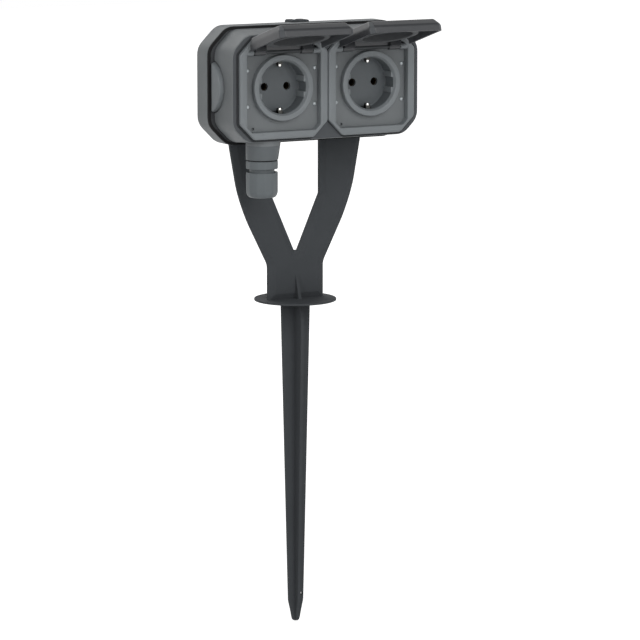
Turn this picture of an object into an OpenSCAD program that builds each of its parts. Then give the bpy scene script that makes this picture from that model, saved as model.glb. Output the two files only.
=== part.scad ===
// Garden socket post: a double socket box with hinged lids on a Y-shaped ground spike.
// Millimetres, +Z up, the front faces -Y, the origin is at ground level on the spike's axis.

/* [Box] */
// Width of the rear shell
box_w = 171; // [169:1:190]
// Height of the rear shell
box_h = 89.4; // [89:0.2:110]
// Size of the rear shell's corner cuts
box_cut = 16; // [10:1:20]
// Height of the box's middle above the ground
box_z = 169.2; // [155:0.2:260]
// Depth of the rear shell
rear_depth = 18; // [17:0.5:30]
// Depth of the front cover
cover_depth = 26.7; // [26.5:0.1:45]
// Width of the cover at the socket frames
cover_front_w = 157.2; // [157:0.2:162]
// Height of the cover at the socket frames
cover_front_h = 80.4; // [79.6:0.2:84]
// Size of the cover's corner cuts at the socket frames
cover_cut = 12; // [11:0.5:13]
// How far the cover stands in from the rear shell at the parting line
cover_step = 1.5; // [1:0.1:2.5]
// Wall thickness of both shells
wall = 3.5; // [3:0.1:4]
// Thickness of the rear shell's back
back_wall = 3; // [2.5:0.1:4]
// Thickness of the seal in the parting line
seal_t = 1.5; // [1:0.1:2.5]
// Width of the seal in the parting line
seal_w = 2.9; // [2.4:0.1:3]
// Radius of the half-moon entry blanks
entry_r = 20; // [15:0.5:20]

/* [Sockets] */
// Distance between the middles of the two sockets
socket_pitch = 75; // [75:0.5:76]
// Width of a socket frame
frame_w = 76.8; // [75:0.2:77]
// Height of a socket frame
frame_h = 76.4; // [74:0.2:77]
// Size of a socket frame's corner cuts
frame_cut = 11.5; // [9:0.5:12]
// How far a frame stands out from its gasket
frame_rise = 4; // [3.5:0.1:6]
// Thickness of a frame's gasket
gasket_t = 0.8; // [0.5:0.1:1.2]
// Width of the recess in a frame
recess_w = 62.8; // [62:0.2:63]
// Depth of the recess in a frame
recess_depth = 5.5; // [5.3:0.1:6]
// Outer radius of the ring round a socket cup
ring_r = 24.8; // [23.6:0.1:25]
// Radius of a socket cup
cup_r = 19.5; // [19:0.1:20]
// Depth of a socket cup
cup_depth = 14; // [13:0.5:17]
// Distance between the pin holes
pin_pitch = 19; // [18:0.1:20]
// Radius of the pin holes
pin_hole_r = 3; // [2.8:0.1:3.4]

/* [Lids] */
// Angle at which the lids stand open
lid_open = 106; // [60:1:110]
// Height of a lid from its rim to its face
lid_h = 8.9; // [8.7:0.1:9.6]
// How far a lid's face stands in from its rim at the sides
lid_bevel = 2.4; // [2:0.1:3.6]
// How far a lid's face stands in from its rim at the free end
end_bevel = 6; // [4:0.1:6.4]
// Wall thickness of a lid
lid_wall = 2; // [1.5:0.1:2.4]
// Radius of a hinge rod
rod_r = 1.25; // [1:0.05:1.3]

/* [Gland] */
// Sideways place of the cable gland
gland_x = -47; // [-52:0.5:-40]
// Radius of the gland's nut
nut_r = 12.1; // [11.8:0.1:13]
// Height of the gland's nut
nut_h = 19.2; // [18:0.2:24]
// Gap between the nut and the collar, taken up as the nut is tightened
nut_gap = 2.6; // [2.4:0.1:3.5]
// Height of the gland's collar
collar_h = 6; // [4:0.2:8]
// Length of the spout under the box
spout_h = 13.2; // [9:0.2:16]
// Radius of the cable hole in the gland's rubber sleeve
cable_r = 5.5; // [3:0.1:6]

/* [Post] */
// Thickness of the post's arms and stem
post_t = 5; // [4.5:0.1:7]
// Distance from the spike's axis to the front of the post
post_face = 3; // [2:0.1:4]
// Half the width of the stem
stem_half = 23.9; // [20:0.1:26]
// Distance from the middle to the inner edge of an upright arm
arm_in = 20.5; // [18:0.5:24]
// Distance from the middle to the outer edge of an arm behind the box
arm_out = 57; // [52:0.5:60]
// Width of the sloping edge round the post's front
edge_w = 5; // [3:0.1:6]
// Depth of the sloping edge round the post's front
edge_d = 1.5; // [1:0.1:2]
// Radius of the round ground plate
plate_r = 31.7; // [26:0.1:40]
// Thickness of the round ground plate
plate_t = 1.6; // [1.2:0.1:3]
// Length of the spike below the ground plate
spike_len = 254.4; // [180:1:320]
// Half the span of the spike's ribs at the ground
spike_half = 12.4; // [10:0.2:15]
// Half the span of the spike's ribs above its point
spike_end_half = 6.3; // [5.8:0.1:8]
// Thickness of the spike's ribs
rib_t = 2.6; // [2:0.1:4]
// Radius of the hole near the spike's point
tip_hole_r = 2; // [1:0.1:2.2]

/* [Hidden] */
$fn = 64;

// Clearances
fit = 0.02;         // between a screw and its thread
slip = 0.3;         // between pieces that slide into each other
run = 0.05;         // between a hinge rod and its bore
show_gap = 0.9;     // groove that shows round an entry blank
over = 1;           // how far a cut runs past a face

// Colours
box_grey = "#5f6568";
lid_grey = "#64696d";
post_grey = "#3b4043";
rubber = "#1d1f20";
inner_grey = "#4a4d50";
brass = "#b9974a";
zinc = "#b8bcc0";

// Planes from the post forwards
y_post = -post_face;
y_back = post_t - post_face;
y_rear = y_post;
y_part = y_rear - rear_depth;
y_seal = y_part - seal_t;
y_cover = y_seal - cover_depth;
y_frame = y_cover - gasket_t;
y_front = y_frame - frame_rise;
y_floor = y_front + recess_depth;
ring_set = 0.5;
y_ring = y_front + ring_set;
y_cup = y_ring + cup_depth;
cup_floor = 2.5;
y_cup_back = y_cup + cup_floor;

// Shells
part_w = box_w - 2 * cover_step;
part_h = box_h - 2 * cover_step;
part_cut = inset_cut(box_cut, cover_step);
seal_inset = 0.2;
cover_screw_r = 1.75;
cover_head_r = 3.4;
cover_head_h = 2.4;
cover_head_deep = 3;
shell_post_r = 5;
cover_post_r = 4;
cover_post_len = 17;
cover_screw_len = 28;
y_cover_screw = y_rear - cover_head_deep;
cover_screw_in = 11;
cover_screw_down = 17.5;
cover_screw_x = box_w / 2 - cover_screw_in;
cover_screw_z = box_h / 2 - cover_screw_down;
entry_back = 5.5;
y_entry = y_seal + entry_back;
entry_lip = 2;
entry_lip_t = 1.5;
entry_face = box_w / 2 - cover_step - 0.3;
entry_t = 7.2;

// Frames and inserts
recess_top = recess_w / 2;
recess_bottom = recess_w / 2 + 1.1;
recess_cut = 4;
frame_gap = 0.2;
frame_inner = socket_pitch / 2 - frame_gap;
frame_outer = frame_w - frame_inner;
gasket_out = 1.4;
skirt_wall = 2.2;
skirt_len = 8;
floor_t = 2.5;
y_ledge = y_floor + floor_t;
ledge_open = 52;
ledge_cut = 5;
lid_window = 25;
snap_w = 16;
snap_out = 0.8;
snap_t = 1.5;
skirt_half = recess_w / 2 + skirt_wall;
y_snap = y_cover + wall + slip;
cup_wall = 2;
mouth_widen = 1.5;
mouth_deep = 2.5;
key_w = 4.2;
key_z = 5.9;
key_in = 2;
slot_w = 6.6;
slot_front = 3;
insert_screw_in = 3;
insert_screw_x = recess_w / 2 - insert_screw_in;
insert_screw_z = 13.5;
insert_screw_r = 1;
insert_head_r = 1.6;
insert_head_h = 0.8;
insert_screw_len = 5.4;
drain_r = 1.2;
drain_deep = 1.5;
drain_x = -24;
drain_up = 2.3;
boss_r = 3.2;
boss_len = 15;
boss_off = 18.4;

// Contacts and links
carrier_r = 20;
carrier_t = 12;
y_carrier = y_cup_back + carrier_t;
ear_r = 4;
ear_t = 3;
y_ear = y_ledge + boss_len;
carrier_screw_r = 1.25;
carrier_screw_len = 12;
carrier_head_r = 2.8;
carrier_head_h = 1.8;
sleeve_r = 4;
sleeve_bore = 2.5;
sleeve_len = 9.8;
sleeve_deep = 8.5;
stud_r = 2;
shoulder_r = 3;
clip_w = 5;
clip_t = 1;
clip_out = 21.2;
clip_bump = 5.8;
clip_start = 2;
clip_rise = 3.5;
clip_fall = 4.5;
clip_end = 7;
strap_t = 1.2;
y_strap = y_carrier + strap_t;
clip_front = y_ring + slot_front + clip_t;
clip_in = clip_out - clip_t;
// Half of the earth spring in Y and Z, from the strap's inside to its outside
clip_leg = [
    [y_carrier, clip_in],
    [clip_front + clip_end, clip_in],
    [clip_front + clip_fall, clip_out - clip_bump],
    [clip_front + clip_rise, clip_out - clip_bump],
    [clip_front + clip_start, clip_in],
    [clip_front, clip_in],
    [clip_front, clip_out],
    [y_strap, clip_out]
];
link_t = 1.2;
link_gap = 1.4;
y_link = y_strap + link_gap;
link_half = 4;
link_far = 12;
link_near = 6;
nut_t = 2.6;
hex_r = 3.8;
stud_len = 3.2;
earth_low = 18;
earth_high = 13;
earth_z = -(earth_low + earth_high) / 2;
earth_screw_r = 1.5;
earth_head_r = 3;
earth_head_h = 1.8;
earth_screw_len = 8;

// Lids: in their own frame the hinge axis is X and a closed lid hangs down
hinge_drop = 4.5;
hinge_up = recess_top - hinge_drop;
y_hinge = y_floor - 3;
lid_half = recess_w / 2 - 0.7;
finger_gap = 0.7;
lid_len = hinge_up + recess_bottom - finger_gap;
lid_back = 2.2;
lid_lip = 5;
lid_edge = 0.5;
lid_cut = 3.4;
face_cut = 2.2;
face_back = 3.4;
lid_notch = 24.6;
lid_notch_deep = 8;
knuckle_r = 2.2;
knuckle_in = 15;
knuckle_out = 24.4;
web_drop = 1.8;
lug_r = 2.3;
rod_half = recess_w / 2 + 1.9;
seal_gap = 0.3;
seal_r = min(lid_half - lid_bevel, lid_len - hinge_up - end_bevel) - lid_wall - seal_gap;
seal_in = cup_r - 0.5;
tab_w = 14;
tab_t = 1.2;
tab_h = 2;

// Gland, measured down from the box
gland_y = y_seal - cover_depth / 2 + 0.35;
cover_drop = part_h / 2 - (part_h - cover_front_h) / 4;
z_box = box_z - cover_drop;
z_spout = z_box - spout_h;
washer_t = 0.8;
z_collar = z_spout - washer_t;
z_neck = z_collar - collar_h;
z_nut = z_neck - nut_gap;
spout_r = nut_r + 0.1;
spout_top_r = nut_r + 0.8;
inner_thread_r = 8.8;
inner_thread_len = 11;
outer_thread_r = 9.4;
thread_run = 0.1;
body_bore_r = 6.8;
sleeve_seat_r = 8;
neck_len = 12;
sleeve_top = 4;
sleeve_h = 9;
ring_h = 1.5;
nut_floor = 4.4;
nut_hole_r = 7;
nut_round = 3;
nut_thread_len = 11.5;

// Post outline: right half from the stem's foot upwards, then down the inner edge
stem_top = 28;
fork_out = 17.5;
fork_z = 62.5;
bend_in = 10.3;
bend_drop = 93.2;
elbow_in = 6.6;
elbow_drop = 81.2;
upper_in = 0.6;
upper_drop = 48.2;
straight_drop = 41.2;
arm_rise = 32;
arm_cut = 10;
inner_drop = 88.2;
crotch_half = 1.5;
crotch_z = 38;
half_post = [
    [stem_half, 0],
    [stem_half, stem_top],
    [stem_half + fork_out, fork_z],
    [arm_out - bend_in, box_z - bend_drop],
    [arm_out - elbow_in, box_z - elbow_drop],
    [arm_out - upper_in, box_z - upper_drop],
    [arm_out, box_z - straight_drop],
    [arm_out, box_z + arm_rise - arm_cut],
    [arm_out - arm_cut, box_z + arm_rise],
    [arm_in + arm_cut, box_z + arm_rise],
    [arm_in, box_z + arm_rise - arm_cut],
    [arm_in, box_z - inner_drop],
    [crotch_half, crotch_z]
];
post_outline = concat(half_post, [for (i = [len(half_post) - 1:-1:0]) [-half_post[i][0], half_post[i][1]]]);
// The same outline as convex pieces: stem, and for each arm its slope, its upright and its top
right_parts = [[1, 2, 11, 12], [2, 3, 4, 5, 6, 7, 10, 11], [7, 8, 9, 10]];
post_last = len(post_outline) - 1;
left_parts = [for (f = right_parts) [for (i = [len(f) - 1:-1:0]) post_last - f[i]]];
post_parts = concat([[0, 1, 12, 13, 24, 25]], right_parts, left_parts);
head_drop = 20;
head_rise = 6;
head_low = box_z - head_drop;
head_high = box_z + head_rise;
hook_half = 7.8;
hook_t = 1.4;
hook_reach = 6;
hook_gap = 0.2;
hook_dip = 0.6;
z_hook = box_z + box_h / 2 + hook_gap;
hook_outline = [[-hook_half, 0], [hook_half, 0], [hook_half - 1, hook_t], [2, hook_t], [0, hook_t - hook_dip],
                [-2, hook_t], [1 - hook_half, hook_t]];
bar_half = 7.8;
rib_top = 23;
rib_full = -14;
tip_start = 16.5;
tip_mid = 8.4;
tip_half = 2.2;
tip_hole_x = 3.6;
tip_hole_up = 20.9;
post_screw_r = 2;
post_head_r = 4;
post_head_h = 2.5;
post_boss_r = 5;
post_boss_len = 9;
post_screw_len = 16;
post_screw_z = [-27, 23];
post_screw_x = (arm_in + arm_out) / 2;

// Corner cut left when an outline with the cut c moves in by t
function inset_cut(c, t) = c - t * (2 - sqrt(2));
// Rectangle with cut corners, between two corners
function cut_box(x0, x1, z0, z1, c) = [
    [x1 - c, z0], [x1, z0 + c], [x1, z1 - c], [x1 - c, z1],
    [x0 + c, z1], [x0, z1 - c], [x0, z0 + c], [x0 + c, z0]
];
function cut_rect(w, h, c) = cut_box(-w / 2, w / 2, -h / 2, h / 2, c);
function recess_pts(grow) =
    cut_box(-recess_w / 2 - grow, recess_w / 2 + grow, -recess_bottom - grow, recess_top + grow,
            inset_cut(recess_cut, -grow));
// Outline of a frame, whose outer edge stands further out than its inner one
function frame_pts(side, grow) =
    let (x0 = side > 0 ? -frame_inner : -frame_outer - grow, x1 = side > 0 ? frame_outer + grow : frame_inner)
        cut_box(x0, x1, -frame_h / 2 - grow, frame_h / 2 + grow, inset_cut(frame_cut, -grow));
// Outline of the rear shell moved in by t
function shell_pts(t) = cut_rect(box_w - 2 * t, box_h - 2 * t, inset_cut(box_cut, t));
// Outward unit normal of the edge from a to b, for an outline drawn anticlockwise
function edge_normal(a, b) = let (d = b - a) [d[1], -d[0]] / norm(d);
// Outline moved inwards by t, corner by corner
function inset(pts, t) = let (n = len(pts)) [
    for (i = [0:n - 1])
        let (p = edge_normal(pts[(i + n - 1) % n], pts[i]), q = edge_normal(pts[i], pts[(i + 1) % n]))
            pts[i] - t * (p + q) / (1 + p * q)
];

module at_box() translate([0, 0, box_z]) children();
module at_socket(side) translate([side * socket_pitch / 2, 0, box_z]) children();
module both_sides() for (s = [-1, 1]) translate([s * socket_pitch / 2, 0, 0]) children();

// Outline in X and Z carried along Y from y0 forwards to y1
module plate(pts, y0, y1) translate([0, y0, 0]) rotate([90, 0, 0]) linear_extrude(y0 - y1) polygon(pts);
// Round bar along Y from y0 forwards to y1
module y_bar(r, y0, y1, x = 0, z = 0)
    translate([x, y0, z]) rotate([90, 0, 0]) cylinder(r = r, h = y0 - y1);
// Round bar along X from x0 to x1
module x_bar(r, x0, x1, y = 0, z = 0) translate([x0, y, z]) rotate([0, 90, 0]) cylinder(r = r, h = x1 - x0);
// Block between two corners
module block(a, b) translate(a) cube(b - a);
// Screw along Y with its head at the back of y0, pointing forwards
module y_screw(r, long, head_r, head_h, y0) {
    y_bar(r, y0, y0 - long);
    y_bar(head_r, y0 + head_h, y0);
}
// Four places at plus and minus x and z
module four_places(x, z) for (s = [-1, 1], t = [-1, 1]) translate([s * x, 0, t * z]) children();
module cover_screw_places() four_places(cover_screw_x, cover_screw_z) children();
module insert_screw_places() four_places(insert_screw_x, insert_screw_z) children();
module post_screw_places()
    for (x = [-post_screw_x, post_screw_x], z = post_screw_z) translate([x, 0, box_z + z]) children();
module pin_places() for (x = [-pin_pitch / 2, pin_pitch / 2]) translate([x, 0, 0]) children();
module ear_places() for (s = [-1, 1]) translate([s * boss_off, 0, s * boss_off]) children();

// Front layer of the post: its edge slopes back all round
module sloped_layer(pts, parts, w, y0, y1) {
    n = len(pts);
    top = inset(pts, w);
    points = concat([for (p = pts) [p[0], y0, p[1]]], [for (p = top) [p[0], y1, p[1]]]);
    sides = [for (i = [0:n - 1]) [i, n + i, n + (i + 1) % n, (i + 1) % n]];
    fronts = [for (f = parts) [for (i = [len(f) - 1:-1:0]) n + f[i]]];
    polyhedron(points, concat(sides, parts, fronts));
}
// Half the span of the spike's ribs at a height
function spike_at(z) = spike_half + (spike_end_half - spike_half) * z / (tip_start - spike_len);
spike_profile = [[spike_at(tip_start - spike_len), tip_start - spike_len], [4.4, tip_mid - spike_len],
                 [tip_half + 0.9, 2 - spike_len], [tip_half, -spike_len]];

module spike_rib(top) {
    half = concat(top, spike_profile);
    polygon(concat(half, [for (i = [len(half) - 1:-1:0]) [-half[i][0], half[i][1]]]));
}

module spike_post() color(post_grey) difference() {
    union() {
        plate(post_outline, y_back, y_post + edge_d);
        sloped_layer(post_outline, post_parts, edge_w, y_post + edge_d, y_post);
        // cross bar and upright between the arms, with the hook over the box
        block([-arm_in - over, y_post, head_low], [arm_in + over, y_back, head_high]);
        block([-bar_half, y_post, head_high - over], [bar_half, y_back, z_hook + hook_t / 2]);
        translate([0, 0, z_hook]) plate(hook_outline, y_back, y_post - hook_reach);
        // ground plate
        translate([0, 0, -plate_t / 2]) cylinder(r = plate_r, h = plate_t);
        // spike: two crossed ribs, the front and back ones run up onto the stem
        translate([0, rib_t / 2, 0]) rotate([90, 0, 0]) linear_extrude(rib_t) spike_rib([[spike_half, 0]]);
        rotate([90, 0, 90]) translate([0, 0, -rib_t / 2]) linear_extrude(rib_t)
            spike_rib([[y_back, rib_top], [spike_half, rib_full]]);
    }
    post_screw_places() y_bar(post_screw_r + fit, y_back + over, y_post - over);
    y_bar(tip_hole_r, over + rib_t, -over - rib_t, tip_hole_x, tip_hole_up - spike_len);
}

module post_screws() color(zinc) post_screw_places()
    y_screw(post_screw_r, post_screw_len, post_head_r, post_head_h, y_back);

module rear_shell() color(box_grey) difference() {
    union() {
        at_box() difference() {
            plate(shell_pts(0), y_rear, y_part);
            plate(shell_pts(wall), y_rear - back_wall, y_part - over);
        }
        at_box() cover_screw_places() y_bar(shell_post_r, y_rear - back_wall / 2, y_part);
        post_screw_places() y_bar(post_boss_r, y_rear - back_wall / 2, y_rear - back_wall - post_boss_len);
    }
    at_box() cover_screw_places() {
        y_bar(cover_screw_r + fit, y_rear + over, y_part - over);
        y_bar(cover_head_r + slip, y_rear + over, y_cover_screw);
    }
    post_screw_places() y_bar(post_screw_r + fit, y_rear + over, y_back - post_screw_len);
}

module shell_seal() color(rubber) at_box() difference() {
    plate(shell_pts(seal_inset), y_part, y_seal);
    plate(shell_pts(seal_inset + seal_w), y_part + over, y_seal - over);
}

// Tapered block of the cover, moved in all round by t
module cover_block(t, y0, y1) {
    skin = 0.01;
    hull() {
        plate(cut_rect(part_w - 2 * t, part_h - 2 * t, inset_cut(part_cut, t)), y0, y0 - skin);
        plate(cut_rect(cover_front_w - 2 * t, cover_front_h - 2 * t, inset_cut(cover_cut, t)), y1 + skin, y1);
    }
}

module at_gland(z) translate([gland_x, gland_y, z]) children();

module front_cover() color(box_grey) difference() {
    union() {
        at_box() difference() {
            cover_block(0, y_seal, y_cover);
            cover_block(wall, y_seal, y_cover + wall);
        }
        at_box() cover_screw_places() y_bar(cover_post_r, y_part, y_part - cover_post_len);
        at_gland(z_spout) cylinder(r1 = spout_r, r2 = spout_top_r, h = spout_h + wall / 2);
    }
    both_sides() at_box() plate(recess_pts(skirt_wall + slip), y_cover + 2 * wall, y_cover - over);
    at_box() x_bar(entry_r + show_gap, -box_w, -box_w / 4, y_entry);
    at_box() x_bar(entry_r + show_gap, box_w / 4, box_w, y_entry);
    at_box() cover_screw_places() y_bar(cover_screw_r + fit, y_part + over, y_cover_screw - cover_screw_len);
    at_gland(z_spout - over) cylinder(r = inner_thread_r + fit, h = spout_h + 3 * wall);
}

module cover_screws() color(zinc) at_box() cover_screw_places() difference() {
    y_screw(cover_screw_r, cover_screw_len, cover_head_r, cover_head_h, y_cover_screw);
    cross_slot(cover_head_r, y_cover_screw + cover_head_h);
}

// Cross recess in a screw head whose top lies in the plane y0
module cross_slot(r, y0) for (a = [0, 90])
    translate([0, y0, 0]) rotate([0, a, 0]) cube([1.2 * r, 0.4 * r, 0.24 * r], center = true);

// Half-moon in the flank on one side: a plate that shows and a lip behind the cover's wall
module entry_blank(side) color(box_grey) at_box() mirror([side < 0 ? 1 : 0, 0, 0]) intersection() {
    union() {
        x_bar(entry_r, entry_face - entry_t, entry_face, y_entry);
        x_bar(entry_r + entry_lip, entry_face - entry_t - entry_lip_t, entry_face - entry_t, y_entry);
    }
    block([0, y_cover, -box_h], [box_w, y_seal, box_h]);
}
module left_entry_blank() entry_blank(-1);
module right_entry_blank() entry_blank(1);

module socket_frame(side) color(box_grey) at_socket(side) difference() {
    union() {
        difference() {
            union() {
                plate(frame_pts(side, 0), y_frame, y_front);
                plate(recess_pts(skirt_wall), y_frame + skirt_len, y_frame - over);
                for (s = [-1, 1])
                    block([s * skirt_half - snap_out, y_snap, -snap_w / 2],
                          [s * skirt_half + snap_out, y_snap + snap_t, snap_w / 2]);
            }
            plate(recess_pts(0), y_ledge, y_front - over);
            plate(cut_rect(ledge_open, ledge_open, ledge_cut), y_frame + skirt_len + over, y_ledge - over);
            block([-lid_window, y_front - over, hinge_up - knuckle_r], [lid_window, y_frame, frame_h]);
        }
        for (s = [0, 1]) mirror([s, 0, 0]) x_bar(lug_r, lid_window, recess_w / 2 + over, y_hinge, hinge_up);
    }
    x_bar(rod_r + fit, -rod_half, rod_half, y_hinge, hinge_up);
    insert_screw_places() y_bar(insert_screw_r + fit, y_floor + insert_screw_len + 2 * fit, y_floor - over);
}
module left_socket_frame() socket_frame(-1);
module right_socket_frame() socket_frame(1);

module frame_gasket(side) color(rubber) at_socket(side) difference() {
    plate(frame_pts(side, gasket_out), y_cover, y_frame);
    plate(recess_pts(skirt_wall + slip / 2), y_cover + over, y_frame - over);
}
module left_frame_gasket() frame_gasket(-1);
module right_frame_gasket() frame_gasket(1);

module socket_insert(side) color(box_grey) at_socket(side) difference() {
    union() {
        difference() {
            union() {
                plate(recess_pts(-slip / 2), y_ledge, y_floor);
                y_bar(ring_r, y_ledge, y_ring);
                y_bar(cup_r + cup_wall, y_cup_back, y_ledge);
                ear_places() y_bar(boss_r, y_ear, y_ledge - over);
            }
            y_bar(cup_r, y_cup, y_ring - over);
            translate([0, y_ring + mouth_deep, 0]) rotate([90, 0, 0])
                cylinder(r1 = cup_r, r2 = cup_r + mouth_widen, h = mouth_deep);
            pin_places() y_bar(pin_hole_r, y_cup_back + over, y_cup - over);
            for (s = [0, 1]) mirror([0, 0, s])
                block([-slot_w / 2, y_ring + slot_front, cup_r - over],
                      [slot_w / 2, y_cup_back + over, clip_out + over]);
        }
        // guide keys at the sides of the cup
        for (s = [0, 1], t = [0, 1]) mirror([s, 0, 0]) mirror([0, 0, t])
            block([cup_r - key_in, y_ring + mouth_deep, key_z - key_w / 2],
                  [cup_r + over, y_cup + over, key_z + key_w / 2]);
    }
    insert_screw_places() y_bar(insert_screw_r + fit, y_ledge + over, y_floor - over);
    ear_places() y_bar(carrier_screw_r + fit, y_ear + over, y_ear + ear_t - carrier_screw_len - fit);
    y_bar(drain_r, y_floor + drain_deep, y_floor - over, drain_x, drain_up - recess_bottom);
}
module left_socket_insert() socket_insert(-1);
module right_socket_insert() socket_insert(1);

module insert_screws() color(zinc) for (s = [-1, 1]) at_socket(s) insert_screw_places() {
    y_bar(insert_screw_r, y_floor + insert_screw_len, y_floor);
    translate([0, y_floor, 0]) rotate([90, 0, 0])
        cylinder(r1 = insert_head_r, r2 = insert_head_r * 0.6, h = insert_head_h);
}

module contact_carrier(side) color(inner_grey) at_socket(side) difference() {
    union() {
        y_bar(carrier_r, y_carrier, y_cup_back);
        rotate([0, -45, 0])
            block([-boss_off * sqrt(2), y_ear, -ear_r], [boss_off * sqrt(2), y_ear + ear_t, ear_r]);
        ear_places() y_bar(ear_r, y_ear + ear_t, y_ear);
    }
    pin_places() {
        y_bar(sleeve_r + slip / 2, y_cup_back + sleeve_len, y_cup_back - over);
        y_bar(shoulder_r + fit, y_carrier + over, y_cup_back);
    }
    ear_places() y_bar(carrier_screw_r + fit, y_ear + ear_t + over, y_ear - over);
    y_bar(earth_screw_r + fit, y_carrier + over, y_strap + link_t - earth_screw_len - fit, 0, earth_z);
}
module left_contact_carrier() contact_carrier(-1);
module right_contact_carrier() contact_carrier(1);

module carrier_screws() color(zinc) for (s = [-1, 1]) at_socket(s) ear_places()
    y_screw(carrier_screw_r, carrier_screw_len, carrier_head_r, carrier_head_h, y_ear + ear_t);

// Sleeves for the plug's pins, each with a shouldered stud behind
module pin_contacts(side) color(brass) at_socket(side) pin_places() difference() {
    union() {
        y_bar(sleeve_r, y_cup_back + sleeve_len, y_cup_back);
        y_bar(shoulder_r, y_link, y_cup_back + sleeve_len - over);
        y_bar(stud_r, y_link + link_t + stud_len, y_link - over);
    }
    y_bar(sleeve_bore, y_cup_back + sleeve_deep, y_cup_back - over);
}
module left_pin_contacts() pin_contacts(-1);
module right_pin_contacts() pin_contacts(1);

// Earth spring: a strap behind the carrier and two legs with a bump that reaches into the cup
module earth_clip(side) color(brass) at_socket(side) difference() {
    translate([-clip_w / 2, 0, 0]) rotate([90, 0, 90]) linear_extrude(clip_w)
        polygon(concat(clip_leg, [for (i = [len(clip_leg) - 1:-1:0]) [clip_leg[i][0], -clip_leg[i][1]]]));
    y_bar(earth_screw_r + fit, y_strap + over, y_carrier - over, 0, earth_z);
}
module left_earth_clip() earth_clip(-1);
module right_earth_clip() earth_clip(1);

// Bar from socket to socket, with a tab to the pin contact at the given place of each
module contact_link(pin_x, way) difference() {
    union() {
        block([-socket_pitch / 2 + pin_x - link_half, y_link, way > 0 ? link_near : -link_far],
              [socket_pitch / 2 + pin_x + link_half, y_link + link_t, way > 0 ? link_far : -link_near]);
        both_sides() block([pin_x - link_half, y_link, way > 0 ? -link_half : -link_far],
                           [pin_x + link_half, y_link + link_t, way > 0 ? link_far : link_half]);
    }
    both_sides() y_bar(stud_r + fit, y_link + link_t + over, y_link - over, pin_x);
}
module live_link() color(brass) at_box() contact_link(-pin_pitch / 2, 1);
module neutral_link() color(brass) at_box() contact_link(pin_pitch / 2, -1);

module earth_link() color(brass) at_box() difference() {
    block([-socket_pitch / 2 - link_half, y_strap, -earth_low],
          [socket_pitch / 2 + link_half, y_strap + link_t, -earth_high]);
    both_sides() y_bar(earth_screw_r + fit, y_strap + link_t + over, y_strap - over, 0, earth_z);
}

module terminal_nuts() color(zinc) for (s = [-1, 1]) at_socket(s) pin_places() difference() {
    translate([0, y_link + link_t + nut_t, 0]) rotate([90, 0, 0]) cylinder(r = hex_r, h = nut_t, $fn = 6);
    y_bar(stud_r + fit, y_link + link_t + nut_t + over, y_link + link_t - over);
}

module earth_screws() color(zinc) for (s = [-1, 1]) at_socket(s) translate([0, 0, earth_z])
    y_screw(earth_screw_r, earth_screw_len, earth_head_r, earth_head_h, y_strap + link_t);

module hinge_rod(side) color(inner_grey) at_socket(side) x_bar(rod_r, -rod_half, rod_half, y_hinge, hinge_up);
module left_hinge_rod() hinge_rod(-1);
module right_hinge_rod() hinge_rod(1);

// Open place of a lid's own frame
module open_lid(side) at_socket(side) translate([0, y_hinge, hinge_up]) rotate([-lid_open, 0, 0]) children();
// Lid body with its walls moved in by t, from the plane of its rim to its face
module lid_block(t, rim) hull() {
    plate(cut_box(t - lid_half, lid_half - t, t - lid_len, lid_back - t, lid_cut - t / 2), rim, -lid_edge);
    plate(cut_box(t - lid_half, lid_half - t, t - lid_len, -lid_edge - t, lid_cut - t / 2), 0, -lid_lip);
    plate(cut_box(t + lid_bevel - lid_half, lid_half - lid_bevel - t, t + end_bevel - lid_len, -face_back - t,
                  face_cut - t / 2), lid_edge / 5 + t - lid_h, t - lid_h);
}
module lid(side) color(lid_grey) open_lid(side) difference() {
    union() {
        difference() {
            lid_block(0, 0);
            lid_block(lid_wall, lid_edge);
        }
        for (s = [0, 1]) mirror([s, 0, 0]) {
            x_bar(knuckle_r, knuckle_in, knuckle_out);
            block([knuckle_in, lid_wall / 2 + 2 - lid_h, -2 * knuckle_r], [knuckle_out, 0, -web_drop]);
        }
        block([-tab_w / 2, -tab_h, -lid_len - tab_t / 4], [tab_w / 2, 0, -lid_len + tab_t]);
    }
    for (s = [0, 1]) mirror([s, 0, 0])
        block([lid_notch, -2 * lid_h, -lid_notch_deep], [2 * lid_half, lid_h, lid_h]);
    x_bar(rod_r + run, -2 * lid_half, 2 * lid_half);
}
module left_lid() lid(-1);
module right_lid() lid(1);

module lid_seal(side) color(rubber) open_lid(side) translate([0, 0, -hinge_up]) difference() {
    y_bar(seal_r, y_ring - seal_gap - y_hinge, lid_wall - lid_h);
    y_bar(seal_in, lid_h, -lid_h);
    block([-seal_r, -lid_h, hinge_up - face_back - lid_wall - slip], [seal_r, lid_h, 2 * hinge_up]);
}
module left_lid_seal() lid_seal(-1);
module right_lid_seal() lid_seal(1);

module gland_body() color(box_grey) at_gland(0) difference() {
    union() {
        translate([0, 0, z_collar]) cylinder(r = inner_thread_r, h = inner_thread_len);
        translate([0, 0, z_neck]) cylinder(r = nut_r + 0.1, h = collar_h);
        translate([0, 0, z_neck - neck_len]) cylinder(r = outer_thread_r, h = neck_len + over);
    }
    translate([0, 0, z_neck - neck_len - over]) {
        cylinder(r = body_bore_r, h = neck_len + collar_h + inner_thread_len + 2 * over);
        cylinder(r = sleeve_seat_r, h = neck_len - sleeve_top + over);
    }
}

module gland_washer() color(rubber) at_gland(z_collar) difference() {
    cylinder(r = nut_r - 0.7, h = washer_t);
    translate([0, 0, -over]) cylinder(r = inner_thread_r + fit, h = washer_t + 2 * over);
}

module gland_seal() color(rubber) at_gland(z_neck - sleeve_top - sleeve_h) difference() {
    cylinder(r = sleeve_seat_r - fit, h = sleeve_h);
    translate([0, 0, -over]) cylinder(r = cable_r, h = sleeve_h + 2 * over);
}

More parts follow.
